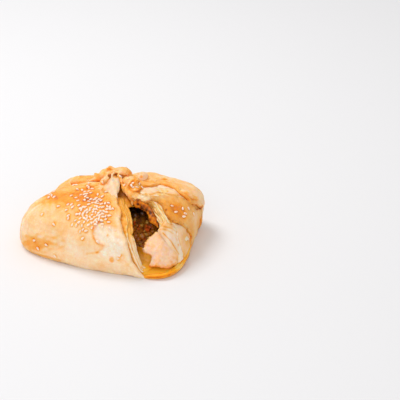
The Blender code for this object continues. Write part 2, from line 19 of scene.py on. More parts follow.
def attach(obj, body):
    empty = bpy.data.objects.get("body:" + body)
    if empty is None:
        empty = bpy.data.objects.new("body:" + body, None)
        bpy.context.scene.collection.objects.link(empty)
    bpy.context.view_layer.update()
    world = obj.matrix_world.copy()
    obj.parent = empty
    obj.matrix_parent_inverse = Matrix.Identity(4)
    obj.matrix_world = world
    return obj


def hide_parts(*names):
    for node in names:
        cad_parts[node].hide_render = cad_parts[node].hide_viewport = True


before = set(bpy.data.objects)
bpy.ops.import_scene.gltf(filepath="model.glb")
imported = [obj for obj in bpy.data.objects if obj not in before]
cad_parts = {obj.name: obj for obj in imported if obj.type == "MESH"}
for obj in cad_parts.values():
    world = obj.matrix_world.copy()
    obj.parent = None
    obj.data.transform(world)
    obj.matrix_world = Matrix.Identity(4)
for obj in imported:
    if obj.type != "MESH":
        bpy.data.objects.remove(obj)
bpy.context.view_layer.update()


# Table
# A plain white matt top under the pastry. It isn't part of the object.

MM = 0.001
TABLE_SIZE = 6.0
TABLE_WHITE = (232, 231, 232)


def from_screen(red, green, blue):
    """A colour as the eye sees it on a screen, 0 to 255, as the linear light that a shader takes."""
    return tuple(((value / 255 + 0.055) / 1.055) ** 2.4 for value in (red, green, blue)) + (1.0,)


def placed(name, data):
    """A new object of this data, in the scene."""
    made = bpy.data.objects.new(name, data)
    bpy.context.scene.collection.objects.link(made)
    return made


def solid(name, mesh):
    """A new object of this mesh, which is used up."""
    made = placed(name, bpy.data.meshes.new(name))
    mesh.to_mesh(made.data)
    mesh.free()
    return made


table_mesh = bmesh.new()
bmesh.ops.create_grid(table_mesh, x_segments=1, y_segments=1, size=TABLE_SIZE / 2)
table = solid("table", table_mesh)
table_paint = bpy.data.materials.new("white_table")
table_paint.use_nodes = True
table_shader = table_paint.node_tree.nodes["Principled BSDF"]
table_shader.inputs["Base Color"].default_value = from_screen(*TABLE_WHITE)
table_shader.inputs["Roughness"].default_value = 0.75
table_shader.inputs["Specular IOR Level"].default_value = 0.2
table.data.materials.append(table_paint)


# Camera and lights
# A long lens looks down on the open corner from a little above. A soft light stands high up on the
# left, a broader one fills from the right and in front, and the room is white.

VIEW_TURN = math.radians(27.0)
VIEW_RISE = math.radians(27.0)
VIEW_DISTANCE = 1.3
PIXEL = 0.757 * MM
FRAME_PIXELS = 400
SENSOR = 36.0
MIDDLE_PIXEL = (115.2, 237.2)
ROOM_LIGHT = 0.66
# Each lamp's name, place, power and size
LAMPS = (("key", (-0.5, 0.1, 1.0), 6.3, 0.5), ("fill", (0.45, -1.05, 0.6), 4.0, 0.9))

back_way = Vector((
    math.sin(VIEW_TURN) * math.cos(VIEW_RISE),
    -math.cos(VIEW_TURN) * math.cos(VIEW_RISE),
    math.sin(VIEW_RISE),
))
right_way = Vector((math.cos(VIEW_TURN), math.sin(VIEW_TURN), 0.0))
up_way = back_way.cross(right_way)
aim = right_way * (FRAME_PIXELS / 2 - MIDDLE_PIXEL[0]) * PIXEL
aim += up_way * (MIDDLE_PIXEL[1] - FRAME_PIXELS / 2) * PIXEL
camera_data = bpy.data.cameras.new("camera")
camera_data.sensor_width = SENSOR
camera_data.lens = SENSOR * VIEW_DISTANCE / (FRAME_PIXELS * PIXEL)
camera = placed("camera", camera_data)
camera.location = aim + back_way * VIEW_DISTANCE
camera.rotation_euler = back_way.to_track_quat("Z", "Y").to_euler()
bpy.context.scene.camera = camera

for lamp_name, place, power, size in LAMPS:
    lamp_data = bpy.data.lights.new(lamp_name, "AREA")
    lamp_data.energy = power
    lamp_data.size = size
    lamp = placed(lamp_name, lamp_data)
    lamp.location = place
    lamp.rotation_euler = Vector(place).to_track_quat("Z", "Y").to_euler()

room = bpy.data.worlds.new("white_room")
room.use_nodes = True
room.node_tree.nodes["Background"].inputs["Color"].default_value = (1.0, 1.0, 1.0, 1.0)
room.node_tree.nodes["Background"].inputs["Strength"].default_value = ROOM_LIGHT
bpy.context.scene.world = room
bpy.context.scene.view_settings.view_transform = "Standard"


# Bottom sheet
# The square of puff pastry that everything lies on. It is rolled out flat, and its edge is turned
# up round the open corner as a low lip that has browned in the butter.

HALF_LENGTH = 64.5 * MM
HALF_WIDTH = 54.0 * MM
SHOULDER_HEIGHT = 34.0 * MM
CROWN_HEIGHT = 46.5 * MM
WALL_SHARPNESS = 9.0
SHOULDER_SHARPNESS = 2.8
CROWN_SLACK = 1.6
PLAN_SQUARENESS = 4.4
CROWN_SQUARENESS = 2.4
UNDERCUT_HEIGHT = 9.0 * MM
UNDERCUT_SHARE = 0.045
PILLOW = 3.0 * MM
LUMPS = 0.5 * MM
LUMP_PITCH = 32.0 * MM
PROFILE_SAMPLES = 400
BASE_THICKNESS = 4.5 * MM
BASE_SHARE = 0.985
BASE_CORNERS = 160
CORNER_ARC = 42.0 * MM
EDGE_RADIUS = 4.0 * MM
CURL_REACH = 7.0 * MM
FAR_FROM_EDGE = 9.0
# How far a torn edge frays, as a share of its waves, and how long the frays are
FRAY = 0.35
FRAY_PITCH = 0.25
# Size in millimetres and detail of the patches that the dough's colour comes in
DOUGH_PATCHES = ((11.0, 3.0), (3.2, 3.0), (1.1, 2.0))
# Millimetres along the crust for one step of around and of up, where its colours are laid out
ALONG = 42.0
RISE = 75.0

# Where the baked dough has risen or sunk: middle, move and spread, in millimetres
SWELLINGS = (
    ((-44, 14, 40), (0, 0, -12), 24),
    ((-24, 36, 42), (0, 0, -15), 24),
    ((-62, -24, 34), (2.5, 0, -1), 20),
    ((-60, -8, 36), (3, 0, -3), 20),
    ((50, 46, 34), (3.5, 3, -1), 20),
    ((64, 34, 8), (-9, 0, 0), 24),
    ((64, -16, 4), (4, -2, 0), 15),
    ((62, -32, 4), (4, -4, 0), 16),
    ((38, -54, 4), (0, 3, 0), 22),
    ((-10, -54, 4), (0, -1.5, 0), 30),
    ((-46.5, 37, 26), (0, 0, -4.5), 9),
)
LIP_TIP = ((0, 0.02), (0.1, 0.04), (0.5, 0.06), (0.75, 0.1), (1, 0.2))
INNER_LIP_TIP = ((0, 0.03), (0.3, 0.07), (0.5, 0.12), (0.75, 0.2), (1, 0.3))
LIP_LINE = ((142, 275.5), (150, 277.3), (160, 277.3), (170, 275))


def smooth(value, low, high):
    """0 below low, 1 above high, and an S-curve between."""
    share = np.clip((value - low) / (high - low), 0.0, 1.0)
    return share * share * (3.0 - 2.0 * share)


def ripple(x, y, size, draw):
    """A smooth random relief between about -1 and 1, its bumps about this size apart."""
    random = np.random.default_rng(draw)
    total = np.zeros(np.broadcast(x, y).shape)
    waves = 7
    for _ in range(waves):
        turn = random.uniform(0.0, math.tau)
        pitch = math.tau / (size * random.uniform(0.7, 1.8))
        phase = random.uniform(0.0, math.tau)
        total += np.sin(pitch * (x * math.cos(turn) + y * math.sin(turn)) + phase)
    return total / math.sqrt(waves)


def rounding(inset):
    """Drop of a round edge, as a share of its radius, at this share of the radius in from the edge."""
    return 1.0 - np.sqrt(np.clip(1.0 - (1.0 - np.clip(inset, 0, 1)) ** 2, 0, 1))


def profile():
    """Reach (share of the half side) and height of the crust from the floor to the crown, by arc length."""
    lean = np.linspace(0.0, math.pi / 2, PROFILE_SAMPLES)
    reach = np.cos(lean) ** (2.0 / WALL_SHARPNESS)
    reach[-1] = 0.0
    wall = np.sin(lean) ** (2.0 / SHOULDER_SHARPNESS)
    rise = CROWN_HEIGHT - SHOULDER_HEIGHT
    height = (SHOULDER_HEIGHT + rise * (1.0 - reach**CROWN_SLACK)) * wall
    low = np.clip(1.0 - height / UNDERCUT_HEIGHT, 0.0, 1.0)
    reach = reach * (1.0 - UNDERCUT_SHARE * low**2)
    steps = np.hypot(np.diff(reach) * HALF_LENGTH, np.diff(height))
    along = np.concatenate([[0.0], np.cumsum(steps)])
    return along / along[-1], reach, height, along[-1]


PROFILE_UP, PROFILE_REACH, PROFILE_HEIGHT, PROFILE_LENGTH = profile()


def crust_point(around, up):
    """Point on the closed crust."""
    around, up = np.broadcast_arrays(np.asarray(around, float), np.asarray(up, float))
    side = np.floor((around + 1.0) / 2.0)
    across = around - 2.0 * side
    quarter = side.astype(int) % 4
    x = np.choose(quarter, [across, np.ones_like(across), -across, -np.ones_like(across)])
    y = np.choose(quarter, [-np.ones_like(across), across, np.ones_like(across), -across])
    reach = np.interp(up, PROFILE_UP, PROFILE_REACH)
    height = np.interp(up, PROFILE_UP, PROFILE_HEIGHT)
    power = CROWN_SQUARENESS + (PLAN_SQUARENESS - CROWN_SQUARENESS) * smooth(reach, 0.3, 0.9)
    radius = (np.abs(x) ** power + np.abs(y) ** power) ** (1.0 / power)
    puff = PILLOW * np.cos(across * math.pi / 2) ** 2 * np.sin(np.clip(up, 0, 1) * math.pi)
    out_x = x / radius * (reach * HALF_LENGTH + 0.5 * puff)
    out_y = y / radius * (reach * HALF_WIDTH + 0.5 * puff)
    point = np.stack([out_x, out_y, height + puff * smooth(up, 0.25, 0.6)], axis=-1)
    for middle, move, spread in SWELLINGS:
        away = np.linalg.norm(point - np.array(middle) * MM, axis=-1, keepdims=True)
        lifted = np.concatenate([np.ones_like(point[..., :2]), smooth(point[..., 2:], 0.0, 8 * MM)], axis=-1)
        point = point + np.array(move) * MM * np.exp(-((away / (spread * MM)) ** 2)) * lifted
    x, y, z = (point[..., k] for k in range(3))
    lumps = LUMPS * ripple(x + 0.6 * z, y - 0.5 * z, LUMP_PITCH, 2) * smooth(z, 0.0, 12 * MM)
    return point * (1.0 + lumps / HALF_LENGTH)[..., None]


def crust_frame(around, up):
    """Point on the crust and the unit normal that leaves it."""
    small = 1e-3
    point = crust_point(around, up)
    along = crust_point(around + small, up) - crust_point(around - small, up)
    over, under = np.minimum(up + small, 1.0), np.maximum(up - small, 0.0)
    rise = crust_point(around, over) - crust_point(around, under)
    normal = np.cross(along, rise)
    length = np.linalg.norm(normal, axis=-1, keepdims=True)
    return point, normal / np.maximum(length, 1e-12)


def run(points, place):
    """A value that follows (place, value) pairs; a plain number stays as it is."""
    if not isinstance(points, tuple):
        return np.full(np.shape(place), float(points))
    places, values = zip(*points)
    return np.interp(place, places, values)


def face_outward(mesh):
    """Turn every face of a closed mesh to look out of it."""
    bmesh.ops.recalc_face_normals(mesh, faces=mesh.faces[:])
    if mesh.calc_volume(signed=True) < 0.0:
        bmesh.ops.reverse_faces(mesh, faces=mesh.faces[:])


def thicken(mesh, height):
    """Extrude a flat mesh upward into a closed one."""
    made = bmesh.ops.extrude_face_region(mesh, geom=mesh.faces[:])
    lifted = [v for v in made["geom"] if isinstance(v, bmesh.types.BMVert)]
    bmesh.ops.translate(mesh, verts=lifted, vec=(0.0, 0.0, height))


def slab(place, columns, rows, walls=3):
    """A closed slab: a thickened grid that place(u, v, w) puts in space, w being 0 outside and 1 inside."""
    mesh = bmesh.new()
    bmesh.ops.create_grid(mesh, x_segments=columns, y_segments=rows, size=1.0)
    thicken(mesh, 1.0)
    uprights = [e for e in mesh.edges if abs(e.verts[0].co.z - e.verts[1].co.z) > 0.5]
    bmesh.ops.subdivide_edges(mesh, edges=uprights, cuts=walls, use_grid_fill=True)
    flat = np.array([v.co for v in mesh.verts])
    u = (1.0 - np.cos((flat[:, 0] + 1.0) * math.pi / 2)) / 2
    v = (flat[:, 1] + 1.0) / 2
    spots, marks = place(u, v, 1.0 - flat[:, 2])
    for vert, spot in zip(mesh.verts, spots):
        vert.co = spot
    face_outward(mesh)
    return mesh, marks


def leaf(left, right, foot, tip, outside, inside, columns, rows, curl=0.0, wave=0.0, pitch=9.0, draw=1,
         relief=None):
    """One leaf of dough between its side edges, its foot and its tip, from one depth to another.

    Its marks say where each vertex lies: around, up, w, and millimetres from the nearest torn edge.
    """
    thickness = (inside - outside) * MM
    radius = min(thickness / 2, EDGE_RADIUS)

    def place(u, v, w):
        low_up, high_up = run(foot, u), run(tip, u)
        up = low_up + (high_up - low_up) * v
        along = up * PROFILE_LENGTH
        ragged = wave * MM / CORNER_ARC
        fray = FRAY * ripple(along, u, FRAY_PITCH * pitch * MM, draw + 50)
        low = run(left, up) + ragged * (ripple(along, np.zeros_like(up), pitch * MM, draw) + fray)
        high = run(right, up) + ragged * (ripple(along, np.zeros_like(up), pitch * MM, draw + 1) + fray)
        around = low + (high - low) * u
        point, normal = crust_frame(around, up)
        arc = CORNER_ARC * np.maximum(np.interp(up, PROFILE_UP, PROFILE_REACH), 0.1)
        sideways = np.minimum(around - low, high - around) * arc
        to_edge = np.minimum(sideways, (high_up - up) * PROFILE_LENGTH)
        dip = radius * rounding(to_edge / radius)
        lift = curl * MM * np.exp(-np.maximum(to_edge, 0.0) / CURL_REACH)
        if relief is not None:
            lift = lift + relief(around, up) * MM * (1.0 - w)
        depth = outside * MM + dip + (thickness - 2.0 * dip) * w - lift
        spot = point - normal * depth[..., None]
        spot[..., 2] = np.maximum(spot[..., 2], 0.0)
        return spot, {"around": around, "up": up, "w": w, "edge": to_edge / MM}

    return slab(place, columns, rows)


def feed(tree, socket, value):
    """Set an input to a value, or link it to the output that feeds it."""
    if isinstance(value, bpy.types.NodeSocket):
        tree.links.new(value, socket)
    else:
        socket.default_value = value


def node(tree, kind, output, inputs, **settings):
    """One output of a new shader node that has these inputs and settings."""
    made = tree.nodes.new("ShaderNode" + kind)
    for setting, value in settings.items():
        setattr(made, setting, value)
    for name, value in inputs.items():
        feed(tree, made.inputs[name], value)
    return made.outputs[output]


def new_finish(name):
    """A new material, its node tree, its shader, and the coordinates of the object that wears it."""
    material = bpy.data.materials.new(name)
    material.use_nodes = True
    tree = material.node_tree
    return material, tree, tree.nodes["Principled BSDF"], node(tree, "TexCoord", "Object", {})


def cloud(tree, place, size_mm, detail, roughness=0.5):
    """Soft uneven patches of about this size."""
    return node(tree, "TexNoise", "Fac", {
        "Vector": place, "Scale": 1.0 / (size_mm * MM), "Detail": detail, "Roughness": roughness})


def ramp(tree, factor, stops):
    """The colour at this factor, between stops of (factor, screen colour)."""
    band = tree.nodes.new("ShaderNodeValToRGB")
    while len(band.color_ramp.elements) < len(stops):
        band.color_ramp.elements.new(0.5)
    for element, (position, colour) in zip(band.color_ramp.elements, stops):
        element.position = position
        element.color = from_screen(*colour)
    tree.links.new(factor, band.inputs["Fac"])
    return band.outputs["Color"]


def dough_finish(name, stops, crumb, roughness, mottle, grain=0.35):
    """Baked dough: pale to brown by the mark "baked", bare flaky crumb by the mark "bare", both uneven."""
    material, tree, shader, place = new_finish(name)

    def sum_of(operation, *values):
        return node(tree, "Math", "Value", dict(enumerate(values)), operation=operation)

    def mark(mark_name):
        return node(tree, "Attribute", "Fac", {}, attribute_name=mark_name)

    broad, middling, fine = (cloud(tree, place, size, detail) for size, detail in DOUGH_PATCHES)
    baked = mark("baked")
    for patches, share in ((broad, 1.0), (middling, 0.7), (fine, 0.8)):
        centred = sum_of("SUBTRACT", baked, mottle * share / 2)
        baked = sum_of("MULTIPLY_ADD", patches, mottle * share, centred)
    crumb_factor = sum_of("MULTIPLY_ADD", fine, 0.5, sum_of("MULTIPLY", middling, 0.5))
    bare = sum_of("MULTIPLY_ADD", fine, 0.5, sum_of("SUBTRACT", mark("bare"), 0.25))
    colour = node(tree, "Mix", 2, {
        "Factor": node(tree, "Clamp", "Result", {"Value": bare}),
        6: ramp(tree, baked, stops),
        7: ramp(tree, crumb_factor, crumb),
    }, data_type="RGBA")
    gloss = node(tree, "MapRange", "Result", {
        "Value": baked, "To Min": roughness[0], "To Max": roughness[1]})
    height = sum_of("MULTIPLY_ADD", middling, 0.6, fine)
    relief = node(tree, "Bump", "Normal", {"Strength": grain, "Distance": 0.5 * MM, "Height": height})
    for socket, value in (
        ("Base Color", colour),
        ("Roughness", gloss),
        ("Normal", relief),
        ("Specular IOR Level", 0.15),
        ("Subsurface Weight", 0.4),
        ("Subsurface Radius", (1.0, 0.45, 0.12)),
        ("Subsurface Scale", 2.5 * MM),
    ):
        feed(tree, shader.inputs[socket], value)
    return material


def joined(meshes):
    """One mesh of these, which are used up."""
    whole = bmesh.new()
    for mesh in meshes:
        part = bpy.data.meshes.new("part")
        mesh.to_mesh(part)
        mesh.free()
        whole.from_mesh(part)
        bpy.data.meshes.remove(part)
    return whole


def write_mark(piece, mark_name, values):
    piece.data.attributes[mark_name].data.foreach_set("value", values.astype(np.float32))


def plain_piece(name, mesh, material):
    """One smooth object of this mesh, which is used up."""
    piece = solid(name, mesh)
    piece.data.materials.append(material)
    piece.data.shade_smooth()
    return piece


def pixels(points):
    """Where points show in the picture, in pixels across and down."""
    away = points - np.array(camera.location)
    size = VIEW_DISTANCE / PIXEL / -(away @ np.array(back_way))
    across, up = away @ np.array(right_way) * size, away @ np.array(up_way) * size
    return FRAME_PIXELS / 2 + across, FRAME_PIXELS / 2 - up


def dough_piece(name, sheets, material, baked, bare=None):
    """One piece of the pastry, of these sheets. baked and bare are functions of their marks."""
    tones, bared = [], []
    for mesh, marks in sheets:
        marks["x"], marks["y"] = pixels(np.array([vert.co for vert in mesh.verts]))
        tones.append(baked(marks))
        bared.append(bare(marks) if bare else np.zeros(len(mesh.verts)))
    piece = plain_piece(name, joined([mesh for mesh, _ in sheets]), material)
    for mark_name, values in (("baked", tones), ("bare", bared)):
        piece.data.attributes.new(mark_name, "FLOAT", "POINT")
        write_mark(piece, mark_name, np.concatenate(values))
    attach(piece, "root")
    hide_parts("pastry")
    return piece


def plain_marks(mesh):
    """The marks of a mesh that has no place on the crust and no torn edge."""
    flat = np.zeros(len(mesh.verts))
    return {"around": flat, "up": flat, "w": flat, "edge": flat + FAR_FROM_EDGE}


def base_sheet():
    """The dough under the filling, out to the foot of the walls."""
    mesh = bmesh.new()
    bmesh.ops.create_circle(mesh, cap_ends=True, segments=BASE_CORNERS, radius=1.0)
    bmesh.ops.inset_region(mesh, faces=mesh.faces[:], thickness=0.06)
    for vert in mesh.verts:
        reach = vert.co.to_2d().length
        around = math.atan2(vert.co.y, vert.co.x) / (math.pi / 4) + 2.0
        vert.co = Vector(crust_point(around, 0.0) * BASE_SHARE * reach)
        vert.co.z = 0.0
    thicken(mesh, BASE_THICKNESS)
    bmesh.ops.recalc_face_normals(mesh, faces=mesh.faces[:])
    return mesh, plain_marks(mesh)


def spread(marks, shown):
    """Two coordinates in millimetres and their scales: over the picture where shown, else over the crust."""
    if shown:
        return marks["x"] * PIXEL / MM, marks["y"] * PIXEL / MM, PIXEL / MM, PIXEL / MM
    return marks["around"] * ALONG, marks["up"] * RISE, ALONG, RISE


def stroke(marks, line, width, shown=False):
    """1 along a line through (around, up) points or pixels, fading over this many millimetres."""
    x, y, x_scale, y_scale = spread(marks, shown)
    nearest = np.full(np.shape(x), 1e3)
    for (x0, y0), (x1, y1) in zip(line[:-1], line[1:]):
        start = np.array((x0 * x_scale, y0 * y_scale))
        way = np.array((x1 * x_scale, y1 * y_scale)) - start
        share = np.clip(((x - start[0]) * way[0] + (y - start[1]) * way[1]) / (way @ way), 0, 1)
        nearest = np.minimum(nearest, np.hypot(x - start[0] - share * way[0], y - start[1] - share * way[1]))
    return np.exp(-((nearest / width) ** 2))


def near_edge(marks, low, high):
    """1 at a torn edge, fading to 0 between these distances from it."""
    return 1.0 - smooth(marks["edge"], low, high)


def buttery(marks):
    """Browned all over, a little paler along the very edge and darker low in the open corner."""
    tone = 0.5 + 0.22 * ripple(marks["around"] * 20, marks["up"] * 60, 6.0, 71)
    return tone + 0.45 * stroke(marks, LIP_LINE, 0.9, shown=True) - 0.3 * near_edge(marks, 0.0, 1.2)


butter_brown = dough_finish(
    "butter_brown",
    ((0.0, (255, 206, 118)), (0.4, (254, 172, 34)), (0.75, (246, 142, 6)), (1.0, (194, 88, 4))),
    ((0.3, (250, 214, 160)), (0.7, (236, 170, 90))),
    roughness=(0.4, 0.24), mottle=0.4,
)
bottom_sheet = dough_piece("bottom_sheet", [
    base_sheet(),
    leaf(0.86, 2.2, 0.0, LIP_TIP, 0.0, 2.6, 110, 10, draw=2),
    leaf(1.3, 2.2, 0.0, INNER_LIP_TIP, 1.6, 4.0, 90, 12, draw=4),
], butter_brown, buttery)


# Filling
# Fried minced meat with diced carrot and onion, heaped on the bottom sheet. It is loose and moist
# with fat, and slopes down into the open corner.

FILLING_HALF_LENGTH = 50.0 * MM
FILLING_HALF_WIDTH = 41.0 * MM
FILLING_MIDDLE = (-5.0 * MM, 2.0 * MM)
FILLING_FOOT = 4.8 * MM
FILLING_HEIGHT = 27.0 * MM
FILLING_EDGE = 1.5 * MM
CORNER_ROUNDING = 0.4
MOUTH_WAY = (0.77, -0.64)
SLOPE_START = 27.0 * MM
SLOPE = 1.1
SUNK_ROOF = (-30.0 * MM, 25.0 * MM)
SUNK_DEPTH = 14.0 * MM
SUNK_SPREAD = 28.0 * MM
# Height and size of the heap's lumps, and how much lower it lies for them, in millimetres
HEAP_LUMPS = ((0.7, 6.0), (0.35, 2.4))
HEAP_SINK = 0.8
# Where bits are strewn, in millimetres from and to, and the height that they are dropped from
STREWN_X = (-10, 46)
STREWN_Y = (-42, 22)
DROP_HEIGHT = 60 * MM
# Bits that stand out in the photo: the pixel where each lies, and its size in millimetres
CARROTS = (
    (134, 222, 1.0), (134.5, 225, 0.8), (147, 230, 1.7), (149.5, 227, 1.2), (146, 226, 0.9),
    (136, 240.5, 1.0), (143.5, 239.5, 1.1), (138, 229, 0.7), (151, 231, 0.9), (133.5, 233, 0.7),
    (142, 246, 0.8),
)
ONIONS = (
    (137, 235.5, 1.7), (140.5, 236.5, 1.2), (133.5, 229, 1.4), (144, 240.5, 1.0), (136, 247, 1.2),
    (141, 226, 1.4), (146, 235.5, 1.2), (138, 242, 1.1), (150.5, 222, 1.0),
)


def moist_finish(name, stops, cell_mm, roughness, coat, shade=None):
    """A moist food surface: colours in small uneven patches, with a bump of the same size, under fat.

    shade says how far toward the mouth, in millimetres, the dark under the flaps ends and full light begins.
    """
    material, tree, shader, place = new_finish(name)
    patches = cloud(tree, place, cell_mm, 4.0, 0.62)
    colour = ramp(tree, patches, stops)
    if shade:
        into_mouth = node(
            tree, "VectorMath", "Value", {0: place, 1: (*MOUTH_WAY, -0.5)}, operation="DOT_PRODUCT")
        light = node(tree, "MapRange", "Result", {
            "Value": into_mouth, "From Min": shade[0] * MM, "From Max": shade[1] * MM, "To Min": 0.05})
        colour = node(tree, "VectorMath", "Vector", {0: colour, "Scale": light}, operation="SCALE")
    bump = node(tree, "Bump", "Normal", {"Strength": 0.6, "Distance": 0.4 * MM, "Height": patches})
    for socket, value in (
        ("Base Color", colour),
        ("Normal", bump),
        ("Roughness", roughness),
        ("Coat Weight", coat),
        ("Coat Roughness", 0.2),
    ):
        feed(tree, shader.inputs[socket], value)
    return material


def bumps(x, y, sizes, draw):
    """A random relief: the sum of bumps of each (height, size)."""
    return sum(height * ripple(x, y, size, draw + k) for k, (height, size) in enumerate(sizes))


def heap():
    """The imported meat: heaped under the roof, lumpy, and sloping down into the mouth."""
    mesh = bmesh.new()
    bmesh.ops.create_grid(mesh, x_segments=110, y_segments=92, size=1.0)
    thicken(mesh, 1.0)
    flat = np.array([v.co for v in mesh.verts])
    u, v = flat[:, 0], flat[:, 1]
    x = u * np.sqrt(1 - v * v * CORNER_ROUNDING) * FILLING_HALF_LENGTH
    y = v * np.sqrt(1 - u * u * CORNER_ROUNDING) * FILLING_HALF_WIDTH
    toward = x * MOUTH_WAY[0] + y * MOUTH_WAY[1]
    roof = FILLING_HEIGHT - np.maximum(0.0, toward - SLOPE_START) * SLOPE
    roof -= SUNK_DEPTH * np.exp(-(np.hypot(x - SUNK_ROOF[0], y - SUNK_ROOF[1]) / SUNK_SPREAD) ** 2)
    roof += (bumps(x / MM, y / MM, HEAP_LUMPS, 90) - HEAP_SINK) * MM
    edge = np.maximum(np.abs(u), np.abs(v))
    roof = FILLING_FOOT + (roof - FILLING_FOOT) * np.sqrt(np.maximum(0.0, 1 - edge**6))
    roof = np.maximum(roof, FILLING_FOOT)
    z = np.where(flat[:, 2] > 0.5, roof, FILLING_FOOT - FILLING_EDGE)
    for vert, spot in zip(mesh.verts, np.stack([x + FILLING_MIDDLE[0], y + FILLING_MIDDLE[1], z], axis=-1)):
        vert.co = spot
    bmesh.ops.recalc_face_normals(mesh, faces=mesh.faces[:])
    return mesh


def seen(x_pixel, y_pixel, toward):
    """The point that shows at this pixel, this many millimetres toward the camera from the base's middle."""
    shrink = 1.0 - toward * MM / VIEW_DISTANCE
    across = right_way * (x_pixel - FRAME_PIXELS / 2) - up_way * (y_pixel - FRAME_PIXELS / 2)
    return np.array(aim + back_way * toward * MM + across * PIXEL * shrink)


def seen_on(surface, x_pixel, y_pixel):
    """Where the view through this pixel meets a surface, and the way up from it, or None for both."""
    way = Vector(seen(x_pixel, y_pixel, 0.0) - np.array(camera.location)).normalized()
    return surface.ray_cast(camera.location, way)[:2]


def strew(surface, count, sizes, stretch, draw, start, shape="crumb", sink=0.1, places=()):
    """Bits of food on the slope of the heap, lumpy, uneven in size and turned anyhow.

    places are the bits that stand out in the photo. count more are strewn, from start millimetres toward
    the mouth on.
    """
    random = np.random.default_rng(draw)
    bit = bmesh.new()
    if shape == "crumb":
        bmesh.ops.create_icosphere(bit, subdivisions=2, radius=1.0)
    else:
        bmesh.ops.create_cube(bit, size=1.5)
        bmesh.ops.bevel(
            bit, geom=bit.edges[:], offset=0.22, segments=2, profile=0.5, affect="EDGES", material=-1)
    pattern = bpy.data.meshes.new("bit")
    bit.to_mesh(pattern)
    bit.free()
    swell = 0.45 if shape == "crumb" else 0.12
    mesh = bmesh.new()

    def lay(hit, normal, size):
        turn = Matrix.Rotation(random.uniform(0, math.tau), 4, Vector(random.normal(size=3)).normalized())
        knobs = Vector(random.uniform(-9, 9, 3))
        before = len(mesh.verts)
        mesh.from_mesh(pattern)
        mesh.verts.ensure_lookup_table()
        fresh = mesh.verts[before:]
        for vert in fresh:
            vert.co *= 1.0 + swell * noise.noise(vert.co * 1.3 + knobs)
            vert.co.x *= stretch
        rest = Matrix.Translation(hit + normal * size * (1.0 - 2 * sink)) @ turn @ Matrix.Scale(size, 4)
        bmesh.ops.transform(mesh, matrix=rest, verts=fresh)

    for x_pixel, y_pixel, size in places:
        hit, normal = seen_on(surface, x_pixel, y_pixel)
        if hit is not None:
            lay(hit, normal, size * MM)
    made = 0
    while made < count:
        x = random.uniform(*STREWN_X) * MM
        y = random.uniform(*STREWN_Y) * MM
        size = random.uniform(*sizes) * MM
        toward = (x - FILLING_MIDDLE[0]) * MOUTH_WAY[0] + (y - FILLING_MIDDLE[1]) * MOUTH_WAY[1]
        hit, normal, _, _ = surface.ray_cast(Vector((x, y, DROP_HEIGHT)), Vector((0, 0, -1)))
        if toward > start * MM and hit is not None:
            lay(hit, normal, size)
            made += 1
    bpy.data.meshes.remove(pattern)
    bmesh.ops.recalc_face_normals(mesh, faces=mesh.faces[:])
    return mesh


minced_meat = moist_finish(
    "minced_meat",
    ((0.3, (92, 42, 4)), (0.45, (184, 98, 8)), (0.58, (212, 132, 20)), (0.75, (238, 176, 66))),
    3.4, 0.4, 0.3, shade=(6, 21),
)
carrot_orange = moist_finish(
    "carrot_orange", ((0.3, (216, 80, 10)), (0.6, (244, 110, 24)), (0.8, (252, 140, 50))), 1.4, 0.32, 0.35)
onion_gold = moist_finish(
    "onion_gold", ((0.3, (196, 136, 30)), (0.6, (232, 178, 76)), (0.8, (248, 214, 130))), 2.0, 0.28, 0.45)

heap_mesh = heap()
heap_surface = BVHTree.FromBMesh(heap_mesh)
meat_heap = plain_piece("meat_heap", heap_mesh, minced_meat)
crumb_mesh = strew(heap_surface, 260, (1.1, 2.6), 1.25, 21, 8, sink=0.25)
meat_crumbs = plain_piece("meat_crumbs", crumb_mesh, minced_meat)
carrot_mesh = strew(heap_surface, 34, (0.7, 1.2), 1.5, 33, 24, shape="dice", places=CARROTS)
carrot_bits = plain_piece("carrot_bits", carrot_mesh, carrot_orange)
onion_mesh = strew(heap_surface, 40, (0.8, 1.6), 1.4, 47, 22, places=ONIONS)
onion_bits = plain_piece("onion_bits", onion_mesh, onion_gold)
for piece in (meat_heap, meat_crumbs, carrot_bits, onion_bits):
    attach(piece, "root")
    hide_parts("filling")


# Back and left flaps
# The two flaps behind, of many thin leaves that have risen into one crust. The back flap laps over
# the right one along a ragged seam.

WALL = 9.0
# Height and size of the glaze's dents, blisters and grain
BLISTERS = ((0.35, 11.0), (0.14, 4.2), (0.05, 1.8))
BACK_SEAM = (
    (0, 2.8), (0.2, 2.66), (0.27, 2.6), (0.32, 2.52), (0.38, 2.36), (0.46, 2.4), (0.52, 2.5),
    (0.58, 2.75), (0.64, 2.9), (0.69, 2.6), (0.73, 2.35), (0.8, 2.2), (1, 2.2),
)
FAR_EDGE = ((140, 172), (160, 175.5), (180, 182.5), (194, 189), (202, 199), (203, 216))


def blot(marks, middle, radii, soft, ragged=0.15, draw=1, shown=False):
    """1 inside a ragged oval and 0 outside. middle is (around, up) or a pixel, and radii are millimetres."""
    x, y, x_scale, y_scale = spread(marks, shown)
    away = np.hypot((x - middle[0] * x_scale) / radii[0], (y - middle[1] * y_scale) / radii[1])
    return 1.0 - smooth(away + ragged * ripple(x, y, 5.0, draw), 1.0 - soft, 1.0 + soft)


def painted(marks, tone, blots=(), strokes=()):
    """A tone with blots and strokes laid on by pixel: each a strength, then what blot or stroke takes."""
    for strength, *oval in blots:
        tone = tone + strength * blot(marks, *oval, shown=True)
    for strength, *line in strokes:
        tone = tone + strength * stroke(marks, *line, shown=True)
    return tone


def along_crust(marks, size, draw):
    """A random relief over the crust, its bumps about this many millimetres apart."""
    x, y = spread(marks, False)[:2]
    return ripple(x, y, size, draw)


